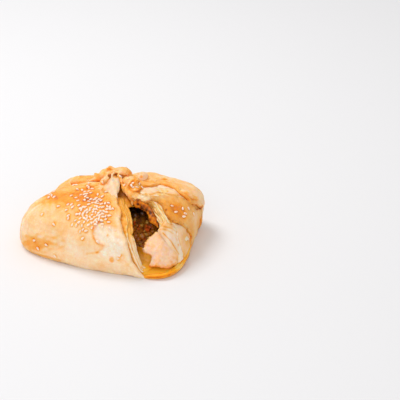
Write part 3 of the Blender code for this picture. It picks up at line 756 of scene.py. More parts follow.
def blistered(draw, strength=1.0, along=1.0, rise=1.0):
    """The relief of a baked glaze, in millimetres: wide dents, small blisters and a fine grain."""
    def relief(around, up):
        return strength * bumps(around * along * ALONG, up * rise * RISE, BLISTERS, draw)

    return relief


def pale_end(marks):
    """1 on the left end of the crust, which has browned less, and 0 on the rest."""
    past = 40.0 - marks["x"] - 0.16 * (marks["y"] - 215.0)
    return smooth(past, -1.0, 2.5) * (1.0 - smooth(marks["y"], 222, 242))


def back_colour(marks):
    """Orange high up, paler at the far edge and the left end, with a slit painted dark as shade on the
    right.
    """
    tone = 0.34 + 0.16 * smooth(marks["up"], 0.15, 0.6) + 0.08 * along_crust(marks, 16.0, 60)
    tone = painted(marks, tone, (
        (-0.2, (82, 182), (12, 2.5), 0.5),
        (0.14, (52, 192), (8, 4), 0.6),
    ), (
        # Painted shade: a dark line for the slit where the flap tucks under on the right.
        (0.6, ((198.8, 211.3), (200.5, 208.8), (202.6, 206.2)), 0.8),
        (-0.18, FAR_EDGE, 4.0),
    ))
    # Toward the inside of each leaf the tone rises: partly the golden of the torn layers, partly painted
    # warm shade.
    tone = tone - 0.1 * pale_end(marks) + 0.15 * smooth(marks["w"], 0.1, 0.5)
    return tone + 0.12 * near_edge(marks, 0.2, 1.6)


egg_glaze = dough_finish(
    "egg_glaze",
    ((0.0, (253, 226, 194)), (0.22, (252, 204, 152)), (0.45, (250, 180, 94)), (0.65, (248, 154, 36)),
     (0.82, (214, 110, 14)), (1.0, (116, 50, 8))),
    ((0.3, (252, 210, 166)), (0.5, (253, 228, 202)), (0.7, (255, 242, 230))),
    roughness=(0.58, 0.38), mottle=0.42, grain=0.5,
)
back_and_left = dough_piece("back_and_left_flaps", [
    leaf(BACK_SEAM, 5.14, 0.0, 0.95, -0.6, 2.5, 140, 110, curl=0.4, wave=0.7, pitch=7.0, draw=60,
         relief=blistered(61)),
    leaf(3.0, 5.1, 0.0, 0.97, 2.0, WALL, 60, 50),
    leaf(4.9, 7.04, 0.0, 0.97, 0.0, WALL, 140, 110, relief=blistered(64)),
], egg_glaze, back_colour)


# Seam leaf
# A paler leaf of the back flap that shows in the seam, between its crust and the right flap. It was
# shut in while it baked, so it stayed soft and has browned only along its crease.

SEAM_CREASE = ((144, 195), (152, 194.4), (158, 192.2), (165, 193.6), (171, 194.6), (178, 195.5))


def seam_colour(marks):
    """Cream, with a brown crease and a golden right end."""
    tone = painted(marks, 0.3, strokes=((0.45, SEAM_CREASE, 0.8),))
    return tone + 0.22 * smooth(marks["x"], 177, 184) + 0.07 * along_crust(marks, 7.0, 66)


pale_dough = dough_finish(
    "pale_dough",
    ((0.0, (252, 230, 206)), (0.3, (247, 208, 170)), (0.6, (244, 178, 92)), (0.85, (218, 130, 22)),
     (1.0, (120, 64, 8))),
    ((0.3, (250, 218, 190)), (0.7, (253, 238, 224))),
    roughness=(0.6, 0.45), mottle=0.3, grain=0.35,
)
seam_leaf = dough_piece("seam_leaf", [
    leaf(1.75, 3.3, 0.0, 0.93, 1.1, 3.4, 110, 110, draw=62, relief=blistered(67)),
], pale_dough, seam_colour)


# Right flap
# The glazed crust of the right flap, egg-washed and baked. It is torn away over the mouth, and its
# upper edge is tucked under the back flap.

RIGHT_CRUST = (
    (0, 1.8), (0.02, 1.8), (0.09, 1.95), (0.17, 2.03), (0.25, 1.96), (0.32, 1.88), (0.38, 1.7), (0.42, 1.68),
    (0.47, 1.73), (0.53, 1.77), (0.57, 1.78), (0.62, 1.76), (0.64, 1.58), (0.68, 1.4), (0.74, 1.33),
    (0.8, 1.45), (0.86, 1.7), (1, 1.9),
)
RIGHT_CRUST_TOP = (
    (0, 3.0), (0.2, 2.75), (0.29, 2.45), (0.4, 2.36), (0.49, 2.3),
    (0.57, 2.1), (0.67, 1.8), (0.75, 1.74), (0.86, 1.8), (1, 2.0),
)


def right_colour(marks):
    """Orange in the middle, paler above the tear, with three darker dots."""
    tone = 0.38 + 0.1 * smooth(marks["up"], 0.1, 0.4) + 0.1 * along_crust(marks, 13.0, 15)
    tone = painted(marks, tone, (
        (0.18, (176, 214), (9, 8), 0.6),
        (-0.2, (146, 199), (11, 3.2), 0.5),
        (0.2, (166, 210), (0.9, 0.9), 0.4),
        (0.2, (173, 221), (0.9, 0.9), 0.4),
        (0.2, (177.5, 224), (0.9, 0.9), 0.4),
    ))
    # Toward the inside of the crust the tone rises: partly the golden of the torn layers, partly painted
    # warm shade.
    return tone + 0.15 * smooth(marks["w"], 0.1, 0.5) + 0.14 * near_edge(marks, 0.2, 1.2)


right_crust = dough_piece("right_crust", [
    leaf(RIGHT_CRUST, RIGHT_CRUST_TOP, 0.0, 0.86, 0.0, 1.6, 130, 130, curl=0.1, wave=0.6, pitch=5.0, draw=11,
         relief=blistered(12)),
], egg_glaze, right_colour)


# Wall leaves
# The thin leaves of puff pastry that show in the torn wall under the crust, each a little further
# back than the one over it. The butter between them has parted them in the oven.

RIGHT_WALL = (
    (0, 1.84), (0.1, 1.86), (0.2, 1.8), (0.28, 1.68), (0.34, 1.54), (0.39, 1.5), (0.43, 1.53), (0.5, 1.55),
    (0.55, 1.58), (0.59, 1.64), (0.64, 1.62), (0.7, 1.5), (0.76, 1.5), (0.82, 1.7), (1, 1.9),
)
WALL_LEAVES = 6
FIRST_WALL_LEAF = 1.4
WALL_LEAF_PITCH = 0.85
WALL_LEAF_THICKNESS = 1.1


def over_picture(marks, size, draw, slant=((1.0, 0.0), (0.0, 1.0))):
    """A random relief over the picture, its bumps about this many millimetres apart along the slant."""
    x, y = spread(marks, True)[:2]
    (xx, xy), (yx, yy) = slant
    return ripple(xx * x + xy * y, yx * x + yy * y, size, draw)


def wall_colour(marks):
    """Cream and yellow strands, golden in under the next leaf, partly as painted shade."""
    tone = 0.32 + 0.2 * over_picture(marks, 2.6, 17, ((0.9, -0.45), (0.1, 0.2)))
    # Toward the inside of each leaf the tone rises: partly the golden of the torn layers, partly painted
    # warm shade.
    tone = tone + 0.14 * smooth(marks["edge"], 0.6, 2.4) + 0.1 * smooth(marks["w"], 0.1, 0.5)
    return painted(marks, tone, ((0.35, (149, 204), (4.5, 4.5), 0.6),))


def between(first, second, share):
    """An edge that lies this share of the way from the first edge to the second."""
    places = sorted({up for up, _ in first} | {up for up, _ in second})
    return tuple((up, float((1 - share) * run(first, up) + share * run(second, up))) for up in places)


torn_leaves = dough_finish(
    "torn_leaves",
    ((0.0, (255, 234, 202)), (0.35, (254, 210, 150)), (0.65, (252, 180, 84)), (1.0, (226, 130, 28))),
    ((0.3, (250, 222, 184)), (0.6, (254, 240, 216))),
    roughness=(0.62, 0.5), mottle=0.25, grain=0.4,
)
wall_sheets = []
for k in range(WALL_LEAVES):
    depth = FIRST_WALL_LEAF + WALL_LEAF_PITCH * k
    wall_sheets.append(leaf(
        between(RIGHT_CRUST, RIGHT_WALL, (k + 0.7) / WALL_LEAVES), 3.0, 0.0, 0.85,
        depth, depth + WALL_LEAF_THICKNESS, 40, 130, wave=0.6, pitch=4.5 + 0.5 * k,
        draw=20 + 3 * k, relief=blistered(43, 1.6, 1.6, 0.6)))
wall_sheets.append(leaf(1.9, 3.1, 0.0, 0.85, 1.6, 10.0, 40, 60))
right_wall = dough_piece("right_wall_leaves", wall_sheets, torn_leaves, wall_colour)


# Inner rim
# The innermost dough of the right flap and its rolled edge over the filling. Steam and fat from the
# meat have fried it brown.

RIGHT_RIM = (
    (0, 1.5), (0.38, 1.54), (0.44, 1.58), (0.5, 1.55), (0.57, 1.56),
    (0.62, 1.6), (0.71, 1.52), (0.83, 1.5), (1, 1.6),
)
RIM_ROLL = (
    (132.5, 204.8, 36), (135, 203.4, 37), (138, 203.4, 38.5), (142, 205, 40), (146, 207, 41),
    (149, 210, 42), (151, 214.5, 44), (153.5, 219, 46), (156, 223.5, 48), (158.5, 228.5, 50),
)
ROLL_RADII = (1.4, 2.8, 3.5, 3.3, 2.8, 2.2, 2.2, 3.2, 3.0, 1.4)
RIM_DOTS = ((138, 204.5), (141.5, 207.5), (150.5, 213))


def rim_colour(marks):
    """Golden, browner toward its edge and inside."""
    return 0.3 + 0.5 * near_edge(marks, 0.0, 3.0) + 0.25 * smooth(marks["w"], 0.2, 0.8)


def fold(path, radii, lumps, draw, around=48):
    """A rolled fold of dough: a round bar through points in metres, its radius in millimetres at each."""
    path = np.array(path)
    places = np.linspace(0.0, 1.0, len(path))
    mesh = bmesh.new()
    bmesh.ops.create_uvsphere(mesh, u_segments=around, v_segments=90, radius=1.0)
    flat = np.array([v.co for v in mesh.verts])
    t = np.arccos(np.clip(-flat[:, 2], -1, 1)) / math.pi

    def on_path(share):
        return np.stack([np.interp(share, places, path[:, k]) for k in range(3)], axis=-1)

    forward = on_path(t + 0.05) - on_path(t - 0.05)
    forward /= np.linalg.norm(forward, axis=-1, keepdims=True)
    sideways = np.cross(forward, np.array([0.0, 0.0, 1.0]))
    sideways /= np.maximum(np.linalg.norm(sideways, axis=-1, keepdims=True), 1e-9)
    upward = np.cross(sideways, forward)
    ends = np.minimum(1.0, np.hypot(flat[:, 0], flat[:, 1]) * 1.7)
    turn = np.arctan2(flat[:, 1], flat[:, 0])
    out = np.interp(t, places, radii) * MM * ends
    way = sideways * np.cos(turn)[:, None] + upward * np.sin(turn)[:, None]
    out = out * (1.0 + lumps * ripple(t * 60 * MM, turn * 6 * MM, 12 * MM, draw))
    spots = on_path(t) + way * out[:, None]
    fine = 0.3 * ripple(spots[:, 0] + spots[:, 2], spots[:, 1], 5 * MM, draw + 3)
    fine = fine + 0.12 * ripple(spots[:, 0], spots[:, 1] + spots[:, 2], 2 * MM, draw + 4)
    size = np.minimum(np.interp(t, places, radii) / 3.0, 1.0)
    spots = spots + way * (fine * size * MM * ends)[:, None]
    for vert, spot in zip(mesh.verts, spots):
        vert.co = spot
    face_outward(mesh)
    return mesh, {"around": turn / 3, "up": t, "w": np.zeros_like(t), "edge": np.full_like(t, FAR_FROM_EDGE)}


def roll_colour(marks):
    """Brown, darker underneath and in three spots."""
    tone = 0.6 + 0.2 * over_picture(marks, 4.0, 49) + 0.25 * smooth(marks["around"], 0.2, 0.9)
    return painted(marks, tone, [(0.6, dot, (0.9, 1.0), 0.5) for dot in RIM_DOTS])


steamed_rim = dough_finish(
    "steamed_rim",
    ((0.0, (250, 186, 90)), (0.35, (236, 142, 24)), (0.65, (198, 104, 10)), (1.0, (92, 40, 6))),
    ((0.3, (236, 176, 100)), (0.7, (250, 216, 164))),
    roughness=(0.5, 0.3), mottle=0.6, grain=0.5,
)
right_rim = dough_piece("right_rim", [
    leaf(RIGHT_RIM, 3.0, 0.36, 0.9, 7.6, 10.2, 70, 110, wave=1.1, pitch=7.0, draw=40,
         relief=blistered(42, 2.0)),
], steamed_rim, rim_colour)
rim_roll = dough_piece("rim_roll", [
    fold([seen(*place) for place in RIM_ROLL], ROLL_RADII, 0.14, 48),
], steamed_rim, roll_colour)


# Web
# A thin skin of dough, stretched between the crown and the rolled edge when the flaps were pinched
# together, and fried by the fat below it. Its top, seen through the hole under the crown, is painted
# dark brown as the shade inside that hole.

WEB_RIM = (
    (115.5, 187, 22), (120.5, 183.5, 21.5), (127, 188.5, 25), (133, 196, 30), (136.5, 204, 35),
    (131.5, 206.4, 36.5), (126, 207.4, 37), (122.5, 201, 33.5), (116, 197.5, 29.5),
)
WEB_MIDDLE = (125, 196, 29)


def rim_point(rim, turn):
    """A smooth closed curve through the rim's points; turn goes 0..1 once round."""
    count = len(rim)
    first = np.floor(turn * count).astype(int)
    t = (turn * count - first)[..., None]
    before, start, end, after = (rim[(first + k) % count] for k in (-1, 0, 1, 2))
    bend = 2 * before - 5 * start + 4 * end - after
    twist = 3 * start - before - 3 * end + after
    return 0.5 * (2 * start + (end - before) * t + bend * t**2 + twist * t**3)


def flake(rim, middle, thickness, bulge, ruffle=0.3, draw=1, columns=70, ragged=0.0):
    """A rounded flake of dough: a closed sheet inside a rim of places in the picture, its middle raised."""
    rim = np.array([seen(*place) for place in rim])
    middle = seen(*middle)
    spokes = rim - middle
    facing = np.cross(spokes, np.roll(spokes, -1, axis=0)).sum(axis=0)
    facing = facing / np.linalg.norm(facing)
    if facing @ (middle - np.array([0.0, 0.0, CROWN_HEIGHT / 2])) < 0:
        facing = -facing
    size = np.linalg.norm(spokes, axis=1).mean()
    thick = thickness * MM

    def place(u, v, w):
        x = -np.cos(u * math.pi)
        y = 2.0 * v - 1.0
        round_x = x * np.sqrt(np.clip(1.0 - y * y / 2, 0, 1))
        round_y = y * np.sqrt(np.clip(1.0 - x * x / 2, 0, 1))
        radius = np.hypot(round_x, round_y)
        turn = np.mod(np.arctan2(round_y, round_x) / math.tau, 1.0)
        edge = rim_point(rim, turn)
        round_turn = turn * math.tau
        tear = 1.0 + ragged * ripple(np.cos(round_turn) * 20, np.sin(round_turn) * 20, 5.0, draw + 9)
        spot = middle + (edge - middle) * (radius * tear)[..., None]
        dip = thick / 2 * rounding((1.0 - radius) * size / (thick / 2))
        rise = bulge * MM * (1.0 - radius**2)
        rise = rise + ruffle * MM * ripple(spot[..., 0], spot[..., 1], 8.0 * MM, draw) * radius
        rise = rise + 0.35 * ruffle * MM * ripple(spot[..., 0], spot[..., 2], 3.0 * MM, draw + 1)
        spot = spot + facing * (rise - dip - (thick - 2.0 * dip) * w)[..., None]
        spot[..., 2] = np.maximum(spot[..., 2], 0.0)
        return spot, {"around": turn * 8, "up": radius, "w": w, "edge": (1.0 - radius) * size / MM}

    return slab(place, columns, columns)


def web_colour(marks):
    """Brown, darker at the right, and painted dark at the top as the shade seen through the hole."""
    return 0.15 + 0.5 * (1.0 - smooth(marks["y"], 195, 202)) + 0.3 * smooth(marks["x"], 127, 131)


fried_web_and_hole_shade = dough_finish(
    "fried_web_and_hole_shade",
    ((0.0, (228, 160, 48)), (0.4, (206, 132, 24)), (0.7, (156, 88, 12)), (1.0, (98, 50, 10))),
    ((0.3, (200, 150, 60)), (0.7, (230, 190, 110))),
    roughness=(0.4, 0.3), mottle=0.3, grain=0.35,
)
web = dough_piece("web", [
    flake(WEB_RIM, WEB_MIDDLE, 1.4, 0.3, ruffle=0.5, draw=68, columns=50),
], fried_web_and_hole_shade, web_colour)


# Pale leaf
# A smooth soft leaf of the right flap, low down beside the tongue. It lay under the torn crust while
# it baked and has stayed pale, with creases where it was pressed.

PALE_LEAF = ((0, 1.6), (0.12, 1.62), (0.25, 1.49), (0.38, 1.4), (1, 1.4))
PALE_LEAF_TIP = ((0, 0.4), (0.5, 0.44), (1, 0.4))


def pale_colour(marks):
    """Cream, paler to the right, with golden creases."""
    tone = 0.2 + 0.14 * near_edge(marks, 0.2, 1.6) + 0.08 * along_crust(marks, 6.0, 47)
    return painted(marks, tone - 0.16 * smooth(marks["x"], 175, 183), (
        (0.3, (164, 224), (5.5, 4.0), 0.6, 0.3, 46),
    ), (
        (0.5, ((163, 233), (171.3, 241.7), (178.6, 254)), 0.6),
        (0.3, ((160, 229), (167, 230), (174, 234), (177, 240)), 0.6),
        (0.3, ((163, 226), (172, 228.5), (181, 236)), 0.6),
        (0.22, ((167, 223.5), (176, 228), (184, 237), (187.5, 250), (185, 258)), 0.6),
        (0.5, ((178.3, 244.5), (178.6, 245.5)), 0.6),
    ))


pale_leaf = dough_piece("pale_leaf", [
    leaf(PALE_LEAF, 2.1, 0.0, PALE_LEAF_TIP, 1.9, 6.5, 80, 70, draw=44, relief=blistered(45)),
], pale_dough, pale_colour)


# Tongue
# Inner dough that has drooped over the filling to the right of the mouth. Steamed rather than baked,
# it is whitish and pink, with a ragged browned edge.

TONGUE_RIM = (
    (158.4, 231.3, 50), (150.5, 236, 50.5), (145.8, 242, 52), (143.3, 247.5, 53.5), (143.5, 252, 54.5),
    (150.5, 255.5, 55.5), (150.8, 261, 55.5), (149.8, 266.3, 56), (157, 266, 57), (165, 268, 56),
    (173, 266.5, 54), (178.3, 260, 51), (177.5, 252, 51.5), (171.5, 242.3, 53), (164.5, 233.5, 53),
)
TONGUE_MIDDLE = (160.5, 250, 56)


def tongue_colour(marks):
    """Pinkish, brown along the left part of its edge and at its foot."""
    browned = near_edge(marks, 0.0, 1.3) * (1.0 - smooth(marks["x"], 152, 166))
    return 0.26 + 0.35 * browned + 0.14 * over_picture(marks, 7.0, 53) + 0.2 * smooth(marks["y"], 260, 268)


def tongue_crumb(marks):
    """Whitish crumb in patches, away from the edge."""
    return np.clip(0.45 + 0.6 * over_picture(marks, 4.5, 52), 0, 1) * smooth(marks["edge"], 0.6, 2.5)


steamed_dough = dough_finish(
    "steamed_dough",
    ((0.0, (250, 214, 178)), (0.4, (248, 190, 128)), (0.7, (240, 156, 60)), (1.0, (200, 100, 16))),
    ((0.3, (242, 186, 140)), (0.7, (250, 220, 202))),
    roughness=(0.6, 0.42), mottle=0.5, grain=0.45,
)
tongue = dough_piece("tongue", [
    flake(TONGUE_RIM, TONGUE_MIDDLE, 3.0, 1.6, ruffle=0.6, draw=51, columns=90, ragged=0.03),
], steamed_dough, tongue_colour, tongue_crumb)


# Golden floor
# The bottom sheet where it shows between the front flap and the tongue. Butter and fat have pooled
# there and fried it golden.

GOLDEN_FLOOR_RIM = (
    (135.5, 249, 36), (140, 248.5, 38), (145, 250, 42), (150, 255, 45), (153, 262, 48), (152, 269, 52),
    (146, 273, 56), (141, 270, 53), (138, 262, 46),
)
GOLDEN_FLOOR_MIDDLE = (145, 260, 46)


def floor_colour(marks):
    """Golden, and brown where it runs in under the filling."""
    return 0.3 + 0.3 * (1.0 - smooth(marks["y"], 250, 256))


golden_floor = dough_piece("golden_floor", [
    flake(GOLDEN_FLOOR_RIM, GOLDEN_FLOOR_MIDDLE, 2.5, 0.5, ruffle=0.4, draw=59, columns=50),
], butter_brown, floor_colour)


# Front flap
# The broad flap nearest the viewer, with a glazed and baked crust whose skin has flaked off in two
# places. It is pulled up over the filling and pinched into the crown.

FRONT_CRUST = (
    (0, 0.92), (0.03, 0.84), (0.14, 0.69), (0.29, 0.65), (0.39, 0.62), (0.46, 0.6), (0.51, 0.59),
    (0.56, 0.63), (0.59, 0.67), (0.62, 0.65), (0.66, 0.59), (0.7, 0.6), (0.78, 0.62), (1, 0.55),
)
FRONT_CRUST_TIP = ((0, 0.93), (0.6, 0.9), (0.85, 0.84), (1, 0.785))
PLEAT = ((0.5, 0.62), (0.56, 0.4), (0.6, 0.25), (0.62, 0.15))
# The curled upper edge of the skin that is left round the upper peeled patch
ARC = ((0.27, 0.45), (0.21, 0.40), (0.19, 0.35), (0.21, 0.30), (0.27, 0.27), (0.32, 0.255))
FRONT_LIMIT = 0.68


def skin_off(marks):
    """How far the glazed skin has flaked off, in the upper and in the lower peeled patch."""
    upper = np.maximum(blot(marks, (0.28, 0.345), (3.9, 6.0), 0.18, 0.12, 31),
                       blot(marks, (0.42, 0.385), (6.0, 2.6), 0.5, 0.2, 32))
    lower = np.maximum(blot(marks, (0.46, 0.27), (5.2, 7.2), 0.25, 0.16, 33),
                       blot(marks, (0.4, 0.205), (4.4, 2.6), 0.4, 0.2, 34))
    return upper, lower


def front_relief(around, up):
    """Blisters, the two peeled patches, a burst bubble, the curled skin and a pleat along the mouth."""
    marks = {"around": around, "up": up}
    upper, lower = skin_off(marks)
    hole = blot(marks, (0.42, 0.15), (1.2, 1.8), 0.4, 0.1, 35)
    lift = 0.35 * stroke(marks, ARC, 1.0) + 0.5 * stroke(marks, PLEAT, 1.2)
    return blistered(36)(around, up) - 0.5 * upper - 0.5 * lower - 1.0 * hole + lift


def front_colour(marks):
    """Pale low, orange on the shoulder, browner in patches, golden round the peels; a painted shadow line.
    """
    up = marks["up"]
    tone = 0.2 + 0.1 * smooth(up, 0.22, 0.42) + 0.2 * smooth(up, 0.42, 0.6)
    tone = painted(marks, tone + 0.05 * along_crust(marks, 15.0, 37), (
        (0.32, (63, 197), (18, 6.0), 0.7, 0.25, 38),
        (0.12, (92, 192), (5, 6), 0.6, 0.2, 40),
        (0.34, (36, 243), (15, 5), 0.7, 0.4, 39),
        (-0.08, (95, 250), (22, 14), 0.7, 0.2, 41),
        (-0.16, (104, 190), (4, 4.5), 0.6),
        (0.4, (111.5, 259.6), (1.8, 1.9), 0.4, 0.1, 35),
    ), (
        (0.3, ((30, 251), (36, 254), (46, 256.5), (60, 260.5)), 0.9),
        (0.45, ((110.3, 234), (113, 232), (115.5, 230.6)), 0.9),
        (0.21, ((97, 252.5), (92, 253.2), (87, 254)), 0.9),
        (0.45, ((104, 238), (107.5, 235.3)), 0.9),
        (0.39, ((105, 242), (106.6, 246.5), (103, 249.5), (97, 252.5)), 0.9),
        (0.45, ((102.5, 253), (105.5, 254.6), (108, 253)), 0.9),
    ))
    # Painted shadow: an orange line under the curled skin round the upper peeled patch.
    tone = tone + 0.6 * stroke(marks, ARC, 0.9) - 0.05 * pale_end(marks) - 0.14 * near_edge(marks, 1.8, 4.5)
    # Toward the inside of the crust the tone rises: partly the golden of the torn layers, partly painted
    # warm shade.
    tone = tone + 0.2 * smooth(marks["w"], 0.1, 0.5) + 0.12 * near_edge(marks, 0.2, 1.4)
    return np.minimum(tone, FRONT_LIMIT)


def front_crumb(marks):
    """Bare where the skin has peeled, most of all in the lower patch."""
    upper, lower = skin_off(marks)
    return 0.7 * upper + 1.1 * lower


front_crust = dough_piece("front_crust", [
    leaf(-1.02, FRONT_CRUST, 0.0, FRONT_CRUST_TIP, 0.0, 2.1, 190, 190, curl=0.15, wave=0.3, pitch=7.0,
         draw=3, relief=front_relief),
], egg_glaze, front_colour, front_crumb)


# Front leaves
# Behind the front crust's torn edge lie a golden core, a thin cream leaf, and two leaves that stand
# out past it as an orange rim. All are leaves of the same flap, parted by their butter.

CREAM_LEAF = (
    (0, 0.92), (0.06, 0.79), (0.16, 0.72), (0.26, 0.68), (0.33, 0.66), (0.42, 0.67), (0.5, 0.74),
    (0.57, 0.78), (0.65, 0.78), (0.75, 0.84), (1, 0.9),
)
ORANGE_LEAF = (
    (0, 0.92), (0.07, 0.78), (0.21, 0.72), (0.33, 0.71), (0.42, 0.73), (0.52, 0.79), (0.61, 0.89),
    (0.72, 0.93), (0.82, 1.1), (1, 1.1),
)
FRONT_RIM = (
    (0, 0.92), (0.09, 0.77), (0.23, 0.73), (0.41, 0.74), (0.54, 0.89), (0.65, 1.04), (0.74, 1.1),
    (0.85, 1.3), (1, 1.3),
)
FRONT_RIM_TIP = ((0, 0.93), (0.7, 0.88), (1, 0.83))
RIM_GROOVE = ((129.5, 243), (131.5, 252), (135.2, 263), (140, 271))


def golden_colour(marks):
    """Golden in the hollow behind the crust, cream lower down and along the torn edge."""
    tone = 0.25 + 0.4 * (1.0 - smooth(marks["y"], 230, 240)) + 0.1 * along_crust(marks, 4.0, 56)
    tone = tone - 0.3 * near_edge(marks, 0.4, 1.2) * (1.0 - smooth(marks["w"], 0.1, 0.4))
    # Toward the inside of each leaf the tone rises: partly the golden of the torn layers, partly painted
    # warm shade.
    return tone + 0.2 * smooth(marks["w"], 0.2, 0.6)


def strand_colour(marks):
    """Orange along the mouth, and a wide smooth cream ribbon below it."""
    low = smooth(marks["y"], 228, 244)
    tone = 0.52 - 0.44 * low + 0.08 * along_crust(marks, 6.0, 57)
    # Toward the inside of each leaf the tone rises: partly the golden of the torn layers, partly painted
    # warm shade.
    tone = tone + 0.25 * smooth(marks["w"], 0.3, 0.9) * (1.0 - 0.6 * low)
    return painted(marks, tone, strokes=((0.45, RIM_GROOVE, 0.6),))


golden_dough = dough_finish(
    "golden_dough",
    ((0.0, (255, 224, 186)), (0.4, (250, 188, 94)), (0.7, (240, 156, 30)), (1.0, (186, 100, 12))),
    ((0.3, (248, 208, 158)), (0.7, (253, 234, 204))),
    roughness=(0.5, 0.36), mottle=0.4, grain=0.5,
)
front_leaves = dough_piece("front_leaves", [
    leaf(-1.0, FRONT_CRUST, 0.0, FRONT_CRUST_TIP, 2.4, 8.0, 80, 110, wave=0.4, pitch=4.0, draw=54),
    leaf(-1.0, CREAM_LEAF, 0.0, FRONT_CRUST_TIP, 2.6, 4.3, 110, 170, wave=0.25, pitch=8.0, draw=55),
], golden_dough, golden_colour)
orange_leaf = dough_piece("orange_leaf", [
    leaf(-1.0, ORANGE_LEAF, 0.0, FRONT_RIM_TIP, 4.2, 6.0, 110, 170, wave=0.2, pitch=9.0, draw=5),
], golden_dough, strand_colour)
front_rim = dough_piece("front_rim", [
    leaf(-1.0, FRONT_RIM, 0.0, FRONT_RIM_TIP, 5.8, 8.2, 120, 130, wave=0.25, pitch=9.0, draw=7),
], golden_dough, strand_colour)


# Crown
# The tips of the four flaps, rolled over each other and pinched together by hand, then glazed and
# baked. Three small ridges run from it over the back flap.

# Large folds: places in millimetres, the radius at each, and how lumpy the fold is
FOLDS = (
    (
        (
            (-24, 1, 41), (-17, 4, 43.5), (-11, 8.5, 47), (-9, 9.3, 48),
            (-5, 11, 47), (0, 15, 47), (4, 16.5, 44.5), (12, 13, 42),
        ),
        (3, 3.4, 3.8, 5.2, 4.8, 5.2, 4.6, 3), 0.1,
    ),
    (
        (
            (-3, 12, 44), (6, 8.5, 44), (12, 4.5, 44.5), (18, 0, 43.5),
            (20, -4.5, 42.5), (21, -8, 41), (22.5, -13, 37.5),
        ),
        (5, 5, 5.2, 6.4, 5.4, 3.2, 2.4), 0.06,
    ),
    (((8, 15, 42), (11, 22, 43), (15, 27, 41)), (3, 4, 3), 0.04),
    (((-40, 3, 35), (-34, 3, 38.5), (-28, 3, 39.2), (-22, 3, 40)), (3, 3.8, 3.2, 3), 0.04),
)
# Small folds: places in the picture, and the radius at each; the last ones are the back flap's ridges
ROLLS = (
    (((106.3, 169.4, 15), (108.5, 168.8, 16), (111.5, 170.2, 16)), (1.0, 1.6, 1.1)),
    (((104, 176, 14), (108, 173.5, 16.5), (113, 172.5, 17.5), (119, 172.5, 17), (124, 173, 16),
      (129, 175.5, 14)), (1.0, 1.4, 1.6, 1.6, 1.4, 1.0)),
    (((98, 186, 20.5), (102.5, 183, 19.2), (106.5, 179.8, 17.6), (110, 177, 16.5)), (1.4, 2.4, 2.8, 2.4)),
    (((93.5, 176.5, 10), (96.5, 175, 10), (100, 175.5, 11)), (1.0, 1.8, 1.4)),
    (((117, 174, 18.5), (119.5, 177, 20), (120.8, 181, 22), (121.3, 186, 25)), (1.1, 1.5, 1.4, 1.0)),
    (((121.5, 183.5, 25), (124.8, 188.3, 28), (128.5, 193, 31.5), (132, 197, 35), (136, 199.8, 38)),
     (1.8, 2.4, 2.5, 2.4, 1.8)),
    (((128, 180.5, 24), (132.5, 184, 26.8), (137, 188, 28.5)), (5.0, 6.2, 5.4)),
    (((163, 180.7, 7.5), (168, 182.7, 9), (173, 185.7, 12.5), (178, 188.7, 16.5), (181, 190.7, 18.5)),
     (1.0, 1.5, 1.7, 1.6, 1.0)),
    (((151.5, 184.7, 13.5), (155, 181.5, 11), (160, 179.3, 6.5), (165, 179, 6), (168, 180.3, 7.5)),
     (0.8, 1.2, 1.3, 1.2, 0.8)),
    (((177, 192.5, 19.5), (182, 191.6, 19.5), (187, 193.7, 21), (191, 196.6, 19.5), (196, 198.2, 15.5),
      (199.5, 200.2, 12.5)), (0.8, 1.4, 1.6, 1.5, 1.3, 0.8)),
)
BACK_RIDGES = 3
SMALL_LUMPS = 0.12
KNOB = (135.5, 186.0)
KNOB_RADII = (7.0, 6.4)
GRAIN = 0.45
RELAXING = 9


def kneaded(sheets):
    """These closed shapes grown into one piece of dough, with the creases between them rounded."""
    lump = solid("lump", joined([mesh for mesh, _ in sheets]))
    remesh = lump.modifiers.new("remesh", "REMESH")
    remesh.mode = "VOXEL"
    remesh.voxel_size = GRAIN * MM
    relax = lump.modifiers.new("relax", "SMOOTH")
    relax.factor = 0.5
    relax.iterations = RELAXING
    ready = lump.evaluated_get(bpy.context.evaluated_depsgraph_get())
    mesh = bmesh.new()
    mesh.from_mesh(ready.to_mesh())
    bpy.data.objects.remove(lump)
    mesh.normal_update()
    x, y, z = np.array([vert.co for vert in mesh.verts]).T
    rough = 0.22 * ripple(x + 0.5 * z, y - 0.4 * z, 4.5 * MM, 93)
    rough = rough + 0.09 * ripple(x - 0.6 * z, y + z, 1.9 * MM, 94)
    for vert, height in zip(mesh.verts, rough):
        vert.co += vert.normal * height * MM
    return mesh, plain_marks(mesh)


def crown_colour(marks):
    """Orange, with a brighter orange ring round the pinched knob and browner lines along three creases."""
    away = np.hypot((marks["x"] - KNOB[0]) / KNOB_RADII[0], (marks["y"] - KNOB[1]) / KNOB_RADII[1])
    ring = np.exp(-(((away - 0.9) / 0.24) ** 2)) * (0.3 + 0.14 * smooth(marks["y"], 184, 191))
    return painted(marks, 0.36 + 0.1 * over_picture(marks, 6.0, 81) + ring, (
        (-0.14, (125, 176), (3.5, 2.0), 0.6),
        (-0.1, (104, 182), (4, 4), 0.6),
    ), (
        (0.2, ((122, 186), (127, 192), (131, 197)), 1.4),
        (0.25, ((134.3, 174.5), (135, 178.5)), 0.8),
        (0.2, ((106, 169.5), (110, 168.5)), 1.0),
    ))


crown_sheets = [
    fold(np.array(path) * MM, radii, lumps, draw + 1) for draw, (path, radii, lumps) in enumerate(FOLDS)
]
crown_sheets += [
    fold([seen(*place) for place in path], radii, SMALL_LUMPS, draw + 20, around=24)
    for draw, (path, radii) in enumerate(ROLLS)
]
pinched, ridges = crown_sheets[:-BACK_RIDGES], crown_sheets[-BACK_RIDGES:]
pinched.append(leaf(-1.6, 0.42, 0.84, 0.995, -0.12, 3.0, 60, 30, draw=87))
crown_folds = dough_piece("crown_folds", [kneaded(pinched)] + ridges, egg_glaze, crown_colour)


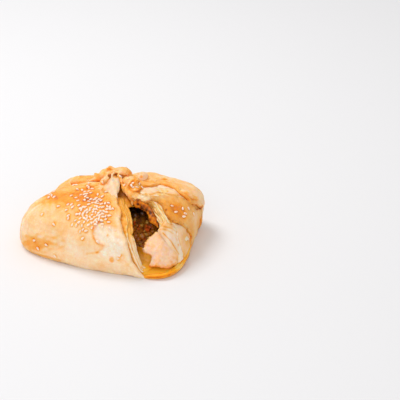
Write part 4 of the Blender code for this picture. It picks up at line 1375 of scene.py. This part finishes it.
# Lobe and ear
# Soft inner dough that was drawn out of the pinched crown: a pale lobe that hangs down in front of it,
# with thin rolls along its top and right edge, and a small rounded ear behind the knob.

LOBE_RIM = (
    (114, 174.2, 18.5), (110.5, 177.5, 20), (106.5, 183, 26), (102, 188, 32.3), (99.5, 192.5, 36.8),
    (104.5, 197, 38.6), (110, 198.5, 40.2), (114, 199, 41.2), (117.3, 197.6, 40.5), (117.3, 193, 36.5),
    (118.2, 188, 32), (119.2, 182.5, 26.5), (119, 177.5, 21.5), (117, 174, 19),
)
LOBE_MIDDLE = (111.5, 187, 31.0)
# The lobe's rolls: places in the picture, and the radius at each
PALE_ROLLS = (
    (((117.5, 173.5, 19), (114.5, 172.7, 19.5), (112.3, 174.5, 20.3), (112, 178, 22), (113.6, 181, 24.5),
      (116, 182.5, 26)), (0.7, 0.8, 0.8, 0.8, 0.8, 0.6)),
    (((118.4, 178, 22), (118.8, 184, 26.5), (117.8, 190, 32), (116.5, 195, 37)), (0.9, 1.0, 1.1, 0.8)),
)
EAR_RIM = (
    (136.5, 177, 13.5), (138, 173.7, 12.5), (141, 171.6, 12), (145, 171.4, 11), (148, 173.2, 10.5),
    (148.3, 177, 11.5), (146, 180.5, 14), (142, 182, 15.5), (138.5, 180.5, 15),
)
EAR_MIDDLE = (142.5, 176.3, 14.5)


def lobe_colour(marks):
    """Cream strands, golden to the left, brown in the right crease; painted shade at the top and upper left.
    """
    strands = 0.09 * over_picture(marks, 3.0, 84, ((1.0, -0.2), (0.0, 0.15)))
    strands = strands + 0.06 * over_picture(marks, 6.0, 86)
    tone = 0.34 + 0.24 * (1.0 - smooth(marks["x"], 100, 109)) + strands + 0.14 * smooth(marks["y"], 192, 197)
    return painted(marks, tone, (
        # Painted shade: the dark inside of the little hole in the top roll.
        (0.6, (116, 175.5), (1.6, 2.0), 0.5),
    ), (
        # Painted shadow under the lobe's upper left edge.
        (0.4, ((110.5, 179), (107.5, 184)), 0.7),
        (0.22, ((118.8, 178), (119, 186), (117.8, 195)), 0.9),
    ))


def lobe_crumb(marks):
    """Partly bare, but for the left and the very top."""
    return 0.45 * smooth(marks["x"], 104, 110) * smooth(marks["y"], 176, 180)


def ear_colour(marks):
    """Cream, golden along its edge and in one dot."""
    return painted(marks, 0.34 + 0.1 * near_edge(marks, 0.2, 1.5), ((0.4, (141.3, 176.7), (0.9, 0.9), 0.5),))


inner_dough = dough_finish(
    "inner_dough",
    ((0.0, (246, 218, 186)), (0.3, (240, 202, 162)), (0.6, (238, 172, 92)), (0.85, (214, 128, 30)),
     (1.0, (120, 64, 8))),
    ((0.3, (240, 202, 168)), (0.7, (246, 224, 204))),
    roughness=(0.6, 0.45), mottle=0.35, grain=0.5,
)
lobe_sheets = [flake(LOBE_RIM, LOBE_MIDDLE, 2.2, 0.6, draw=83)]
lobe_sheets += [
    fold([seen(*place) for place in path], radii, 0.1, draw + 40, around=24)
    for draw, (path, radii) in enumerate(PALE_ROLLS)
]
crown_lobe = dough_piece("crown_lobe", lobe_sheets, inner_dough, lobe_colour, lobe_crumb)
ear = dough_piece("ear", [
    flake(EAR_RIM, EAR_MIDDLE, 2.4, 0.8, draw=85, columns=40),
], pale_dough, ear_colour)


# Sesame
# Hulled white sesame, strewn on the egg wash before baking, mostly in the middle of the front flap.
# The glaze round each seed is browned in a ring: partly glaze that browned there, partly painted shade.

SEED_LENGTH = 2.95
SEED_WIDTH = 1.65
SEED_HEIGHT = 1.2
SEED_TAPER = 0.35
SEED_SIZES = (0.85, 1.08)
SEED_DRAW = 11
SEED_GAP = 2.3
RING_TONE = 0.3
RING_LIMIT = 0.78
RING_EDGE = (1.1, 2.6)
# Thick groups, to be filled up between the seeds below: middle and reach in pixels, and count
SEED_GROUPS = (((95, 212), (15, 15), 24), ((86, 193), (8, 7), 4))
# Each seed that the photo shows: the pixel it lies at, and how its length is turned there, in degrees
SEEDS = (
    (81, 195, 20), (85, 192, 20), (85.8, 196.4, 50), (86.9, 194, 20), (89, 191.3, 70), (82.3, 190.5, -80),
    (76.1, 197.8, 20), (78, 200.7, 10), (84.7, 200.2, -65), (79.1, 205.3, 50), (97.8, 194.7, -85),
    (102.4, 196.4, 50), (96.2, 198.3, 45), (99.2, 199.4, 20), (101.1, 200.4, 45), (94.4, 199.9, 40),
    (97.3, 201.2, -60), (92.8, 202.9, 10), (89, 204.5, 20), (96, 202.6, 60), (101.3, 204.2, 55),
    (95.4, 206.1, 40), (97, 206.8, 80), (99.7, 207.4, 60), (105.1, 203.4, 80), (108.6, 203.1, -30),
    (85.5, 207.1, 40), (102.7, 207.4, 30), (80.7, 208.5, 10), (81.5, 209.8, 70), (87.1, 210.1, -70),
    (85, 211.2, 50), (112.8, 208.8, -60), (109.9, 207.1, 80), (93.3, 211.7, 60), (95.7, 212.5, -80),
    (106.7, 212.2, -15), (79.9, 213.8, 80), (83.1, 213.6, 60), (82.8, 215.7, -80), (92.2, 214.9, 20),
    (86.9, 216, -50), (98.9, 212.8, 30), (102.7, 213.8, -20), (109.4, 215.7, 15), (103.2, 216.8, 5),
    (99.4, 216.8, -75), (94.6, 217.1, 10), (80.2, 218.4, 30), (84.4, 218.4, -45), (91.7, 219.2, 15),
    (98.6, 219.5, -85), (88.2, 220.5, 30), (75.6, 220.3, 25), (96, 219.7, 60), (79.1, 222.1, 35),
    (93.8, 221.9, 65), (96.8, 222.1, -65), (84.2, 222.1, 60), (76.4, 225.1, 85), (91.4, 223.2, -75),
    (88.7, 224.8, 30), (82, 225.6, 80), (91.9, 227.5, 70), (102.4, 224, 0), (109.6, 228.5, -45),
    (80.2, 231.3, 60), (86.1, 230.7, 10), (101.6, 220.5, -20), (83.1, 229.4, 40), (107.2, 209.3, 20),
    (48.8, 197.4, 80), (50.2, 194.5, 60), (53.9, 191.8, 60), (51.8, 195.8, -80), (54.2, 197.1, 60),
    (73.5, 185.4, 40), (76.4, 185.1, -60), (77.5, 189.4, -40), (71.3, 195.8, 60), (68.1, 204.6, 60),
    (71.6, 204.6, 75), (72.7, 207.1, 60), (66.5, 210, 10), (58.5, 206.3, 0), (42.1, 214.3, 50),
    (68.4, 215.6, 30), (68.4, 218.3, 70), (72.3, 224.6, 70), (53.8, 224.3, -45), (87.7, 185.8, 40),
    (88.8, 188, -80), (34.3, 240.4, 20), (46.3, 245, -30), (38, 248.6, -50), (55, 256, -50),
    (82.6, 238.3, 30), (97.7, 241.8, -55), (118, 258.6, -5), (119.6, 255, 70), (172, 206, 10),
    (176, 212, 20), (185.3, 213.7, 0), (184, 216.6, 10), (188.4, 208.6, -30), (193.5, 214, -55),
    (177, 234, 80), (133, 183, 15), (131.4, 185.6, -70), (133.3, 187.4, 30), (137, 187.4, -10),
    (139.2, 183.6, 45), (142, 187.5, 10), (124.8, 185.2, 30), (120.5, 176.8, -40), (102.5, 182.5, -60),
)
# Those on the sides that the photo doesn't show, as (around, up, turn)
HIDDEN_SEEDS = (
    (2.66, 0.87, 20), (2.9, 0.83, 70), (2.45, 0.84, -30), (5.91, 0.89, 10), (6.3, 0.8, 50), (3.4, 0.75, 0),
    (3.9, 0.8, -60), (4.4, 0.7, 30), (2.1, 0.4, 40),
)


def more_seeds():
    """Seeds between those of the thick groups, each at least a seed's width from the next."""
    random = np.random.default_rng(SEED_DRAW + 1)
    placed_seeds = [seed[:2] for seed in SEEDS]
    more = []
    for middle, reach, count in SEED_GROUPS:
        for _ in range(40 * count):
            spot = tuple(middle[k] + reach[k] * random.normal() * 0.45 for k in (0, 1))
            if min(math.dist(spot, other) for other in placed_seeds) > SEED_GAP and count > 0:
                placed_seeds.append(spot)
                more.append((*spot, random.uniform(-90, 90)))
                count -= 1
    return tuple(more)


def seed_seats(surface):
    """Where each seed rests: its place, the way up from the glaze, and the way along it."""
    seats = []
    for x, y, turn in SEEDS + more_seeds():
        turn = math.radians(turn)
        seats.append((*seen_on(surface, x, y), right_way * math.cos(turn) + up_way * math.sin(turn)))
    for around, up, turn in HIDDEN_SEEDS:
        point, normal = crust_frame(np.array(around), np.array(up))
        hit, slope, _, _ = surface.ray_cast(Vector(point + normal * 12 * MM), -Vector(normal))
        if hit is not None:
            level = Vector((0.0, 0.0, 1.0)).cross(slope)
            seats.append((hit, slope, level + Vector((0.0, 0.0, math.tan(math.radians(turn))))))
    return [seat for seat in seats if seat[0] is not None]


def surface_of(pieces):
    """The surfaces of these pieces as one, for rays to meet."""
    whole = bmesh.new()
    for piece in pieces:
        whole.from_mesh(piece.data)
    surface = BVHTree.FromBMesh(whole)
    whole.free()
    return surface


def read_mark(piece, mark_name):
    """A mark's value at each vertex of a piece."""
    values = np.zeros(len(piece.data.vertices), np.float32)
    piece.data.attributes[mark_name].data.foreach_get("value", values)
    return values


glazed_pieces = (front_crust, right_crust, back_and_left, crown_folds, crown_lobe, pale_leaf)
random = np.random.default_rng(SEED_DRAW)
seed_mesh = bmesh.new()
resting = []
for hit, slope, along in seed_seats(surface_of(glazed_pieces)):
    along = (along - slope * along.dot(slope)).normalized()
    lie = Matrix((along, slope.cross(along), slope)).transposed().to_4x4()
    resting.append(hit)
    made = bmesh.ops.create_uvsphere(seed_mesh, u_segments=12, v_segments=8, radius=0.5)
    size = random.uniform(*SEED_SIZES)
    for vert in made["verts"]:
        x, y, z = vert.co
        taper = 1.0 - SEED_TAPER * 2.0 * z
        vert.co = Vector((z * SEED_LENGTH, x * SEED_WIDTH * taper, y * SEED_HEIGHT)) * size * MM
    rest = Matrix.Translation(hit + slope * SEED_HEIGHT * 0.16 * MM)
    bmesh.ops.transform(seed_mesh, matrix=rest @ lie, verts=made["verts"])
face_outward(seed_mesh)

hulled_sesame = moist_finish(
    "hulled_sesame", ((0.3, (240, 200, 160)), (0.5, (250, 224, 198)), (0.7, (254, 238, 224))), 1.6, 0.5, 0.0)
sesame = plain_piece("sesame", seed_mesh, hulled_sesame)
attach(sesame, "root")
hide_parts("pastry")

rings = kdtree.KDTree(len(resting))
for k, spot in enumerate(resting):
    rings.insert(spot, k)
rings.balance()
# A ring round each seed: browned glaze, and painted shade round the seed.
for piece in glazed_pieces:
    tones = read_mark(piece, "baked")
    away = np.array([rings.find(vert.co)[2] for vert in piece.data.vertices]) / MM
    ring = np.clip(RING_LIMIT - tones, 0.0, RING_TONE) * (1.0 - smooth(away, *RING_EDGE))
    write_mark(piece, "baked", tones + ring)


# Creases
# Painted shade: the folds and the dough under the torn edges are browned, and lose their bare crumb,
# the deeper the closer other dough shuts them in, for the warm shade that falls there.

CREASE_REACH = 4.5 * MM
CREASE_SHADE_TONE = 0.5
CREASE_SHADE_LIMIT = 0.76
RAY_LEAN = 0.9
RAY_START = 0.15 * MM


def shut_in(piece, surface):
    """0 to 1 at each vertex: how closely other dough stands over it."""
    shares = []
    for vert in piece.data.vertices:
        normal = vert.normal
        side = normal.orthogonal().normalized()
        other = normal.cross(side)
        total = 0.0
        for lean in (Vector(), side, -side, other, -other):
            way = (normal + lean * RAY_LEAN).normalized()
            distance = surface.ray_cast(vert.co + normal * RAY_START, way, CREASE_REACH)[3]
            if distance is not None:
                total += 1.0 - 0.5 * distance / CREASE_REACH
        shares.append(total / 5)
    return np.array(shares, np.float32)


baked_pieces = glazed_pieces + (
    bottom_sheet, seam_leaf, right_wall, right_rim, rim_roll, web, tongue, golden_floor, front_leaves,
    orange_leaf, front_rim, ear,
)
dough_surface = surface_of(baked_pieces)
# Painted shade: each vertex browns with how closely other dough stands over it.
for piece in baked_pieces:
    closeness = shut_in(piece, dough_surface)
    tones = read_mark(piece, "baked")
    write_mark(piece, "baked", tones + np.clip(CREASE_SHADE_LIMIT - tones, 0.0, CREASE_SHADE_TONE) * closeness)
    write_mark(piece, "bare", read_mark(piece, "bare") * (1.0 - closeness))


# Update
# The view layer is brought up to date.

bpy.context.view_layer.update()
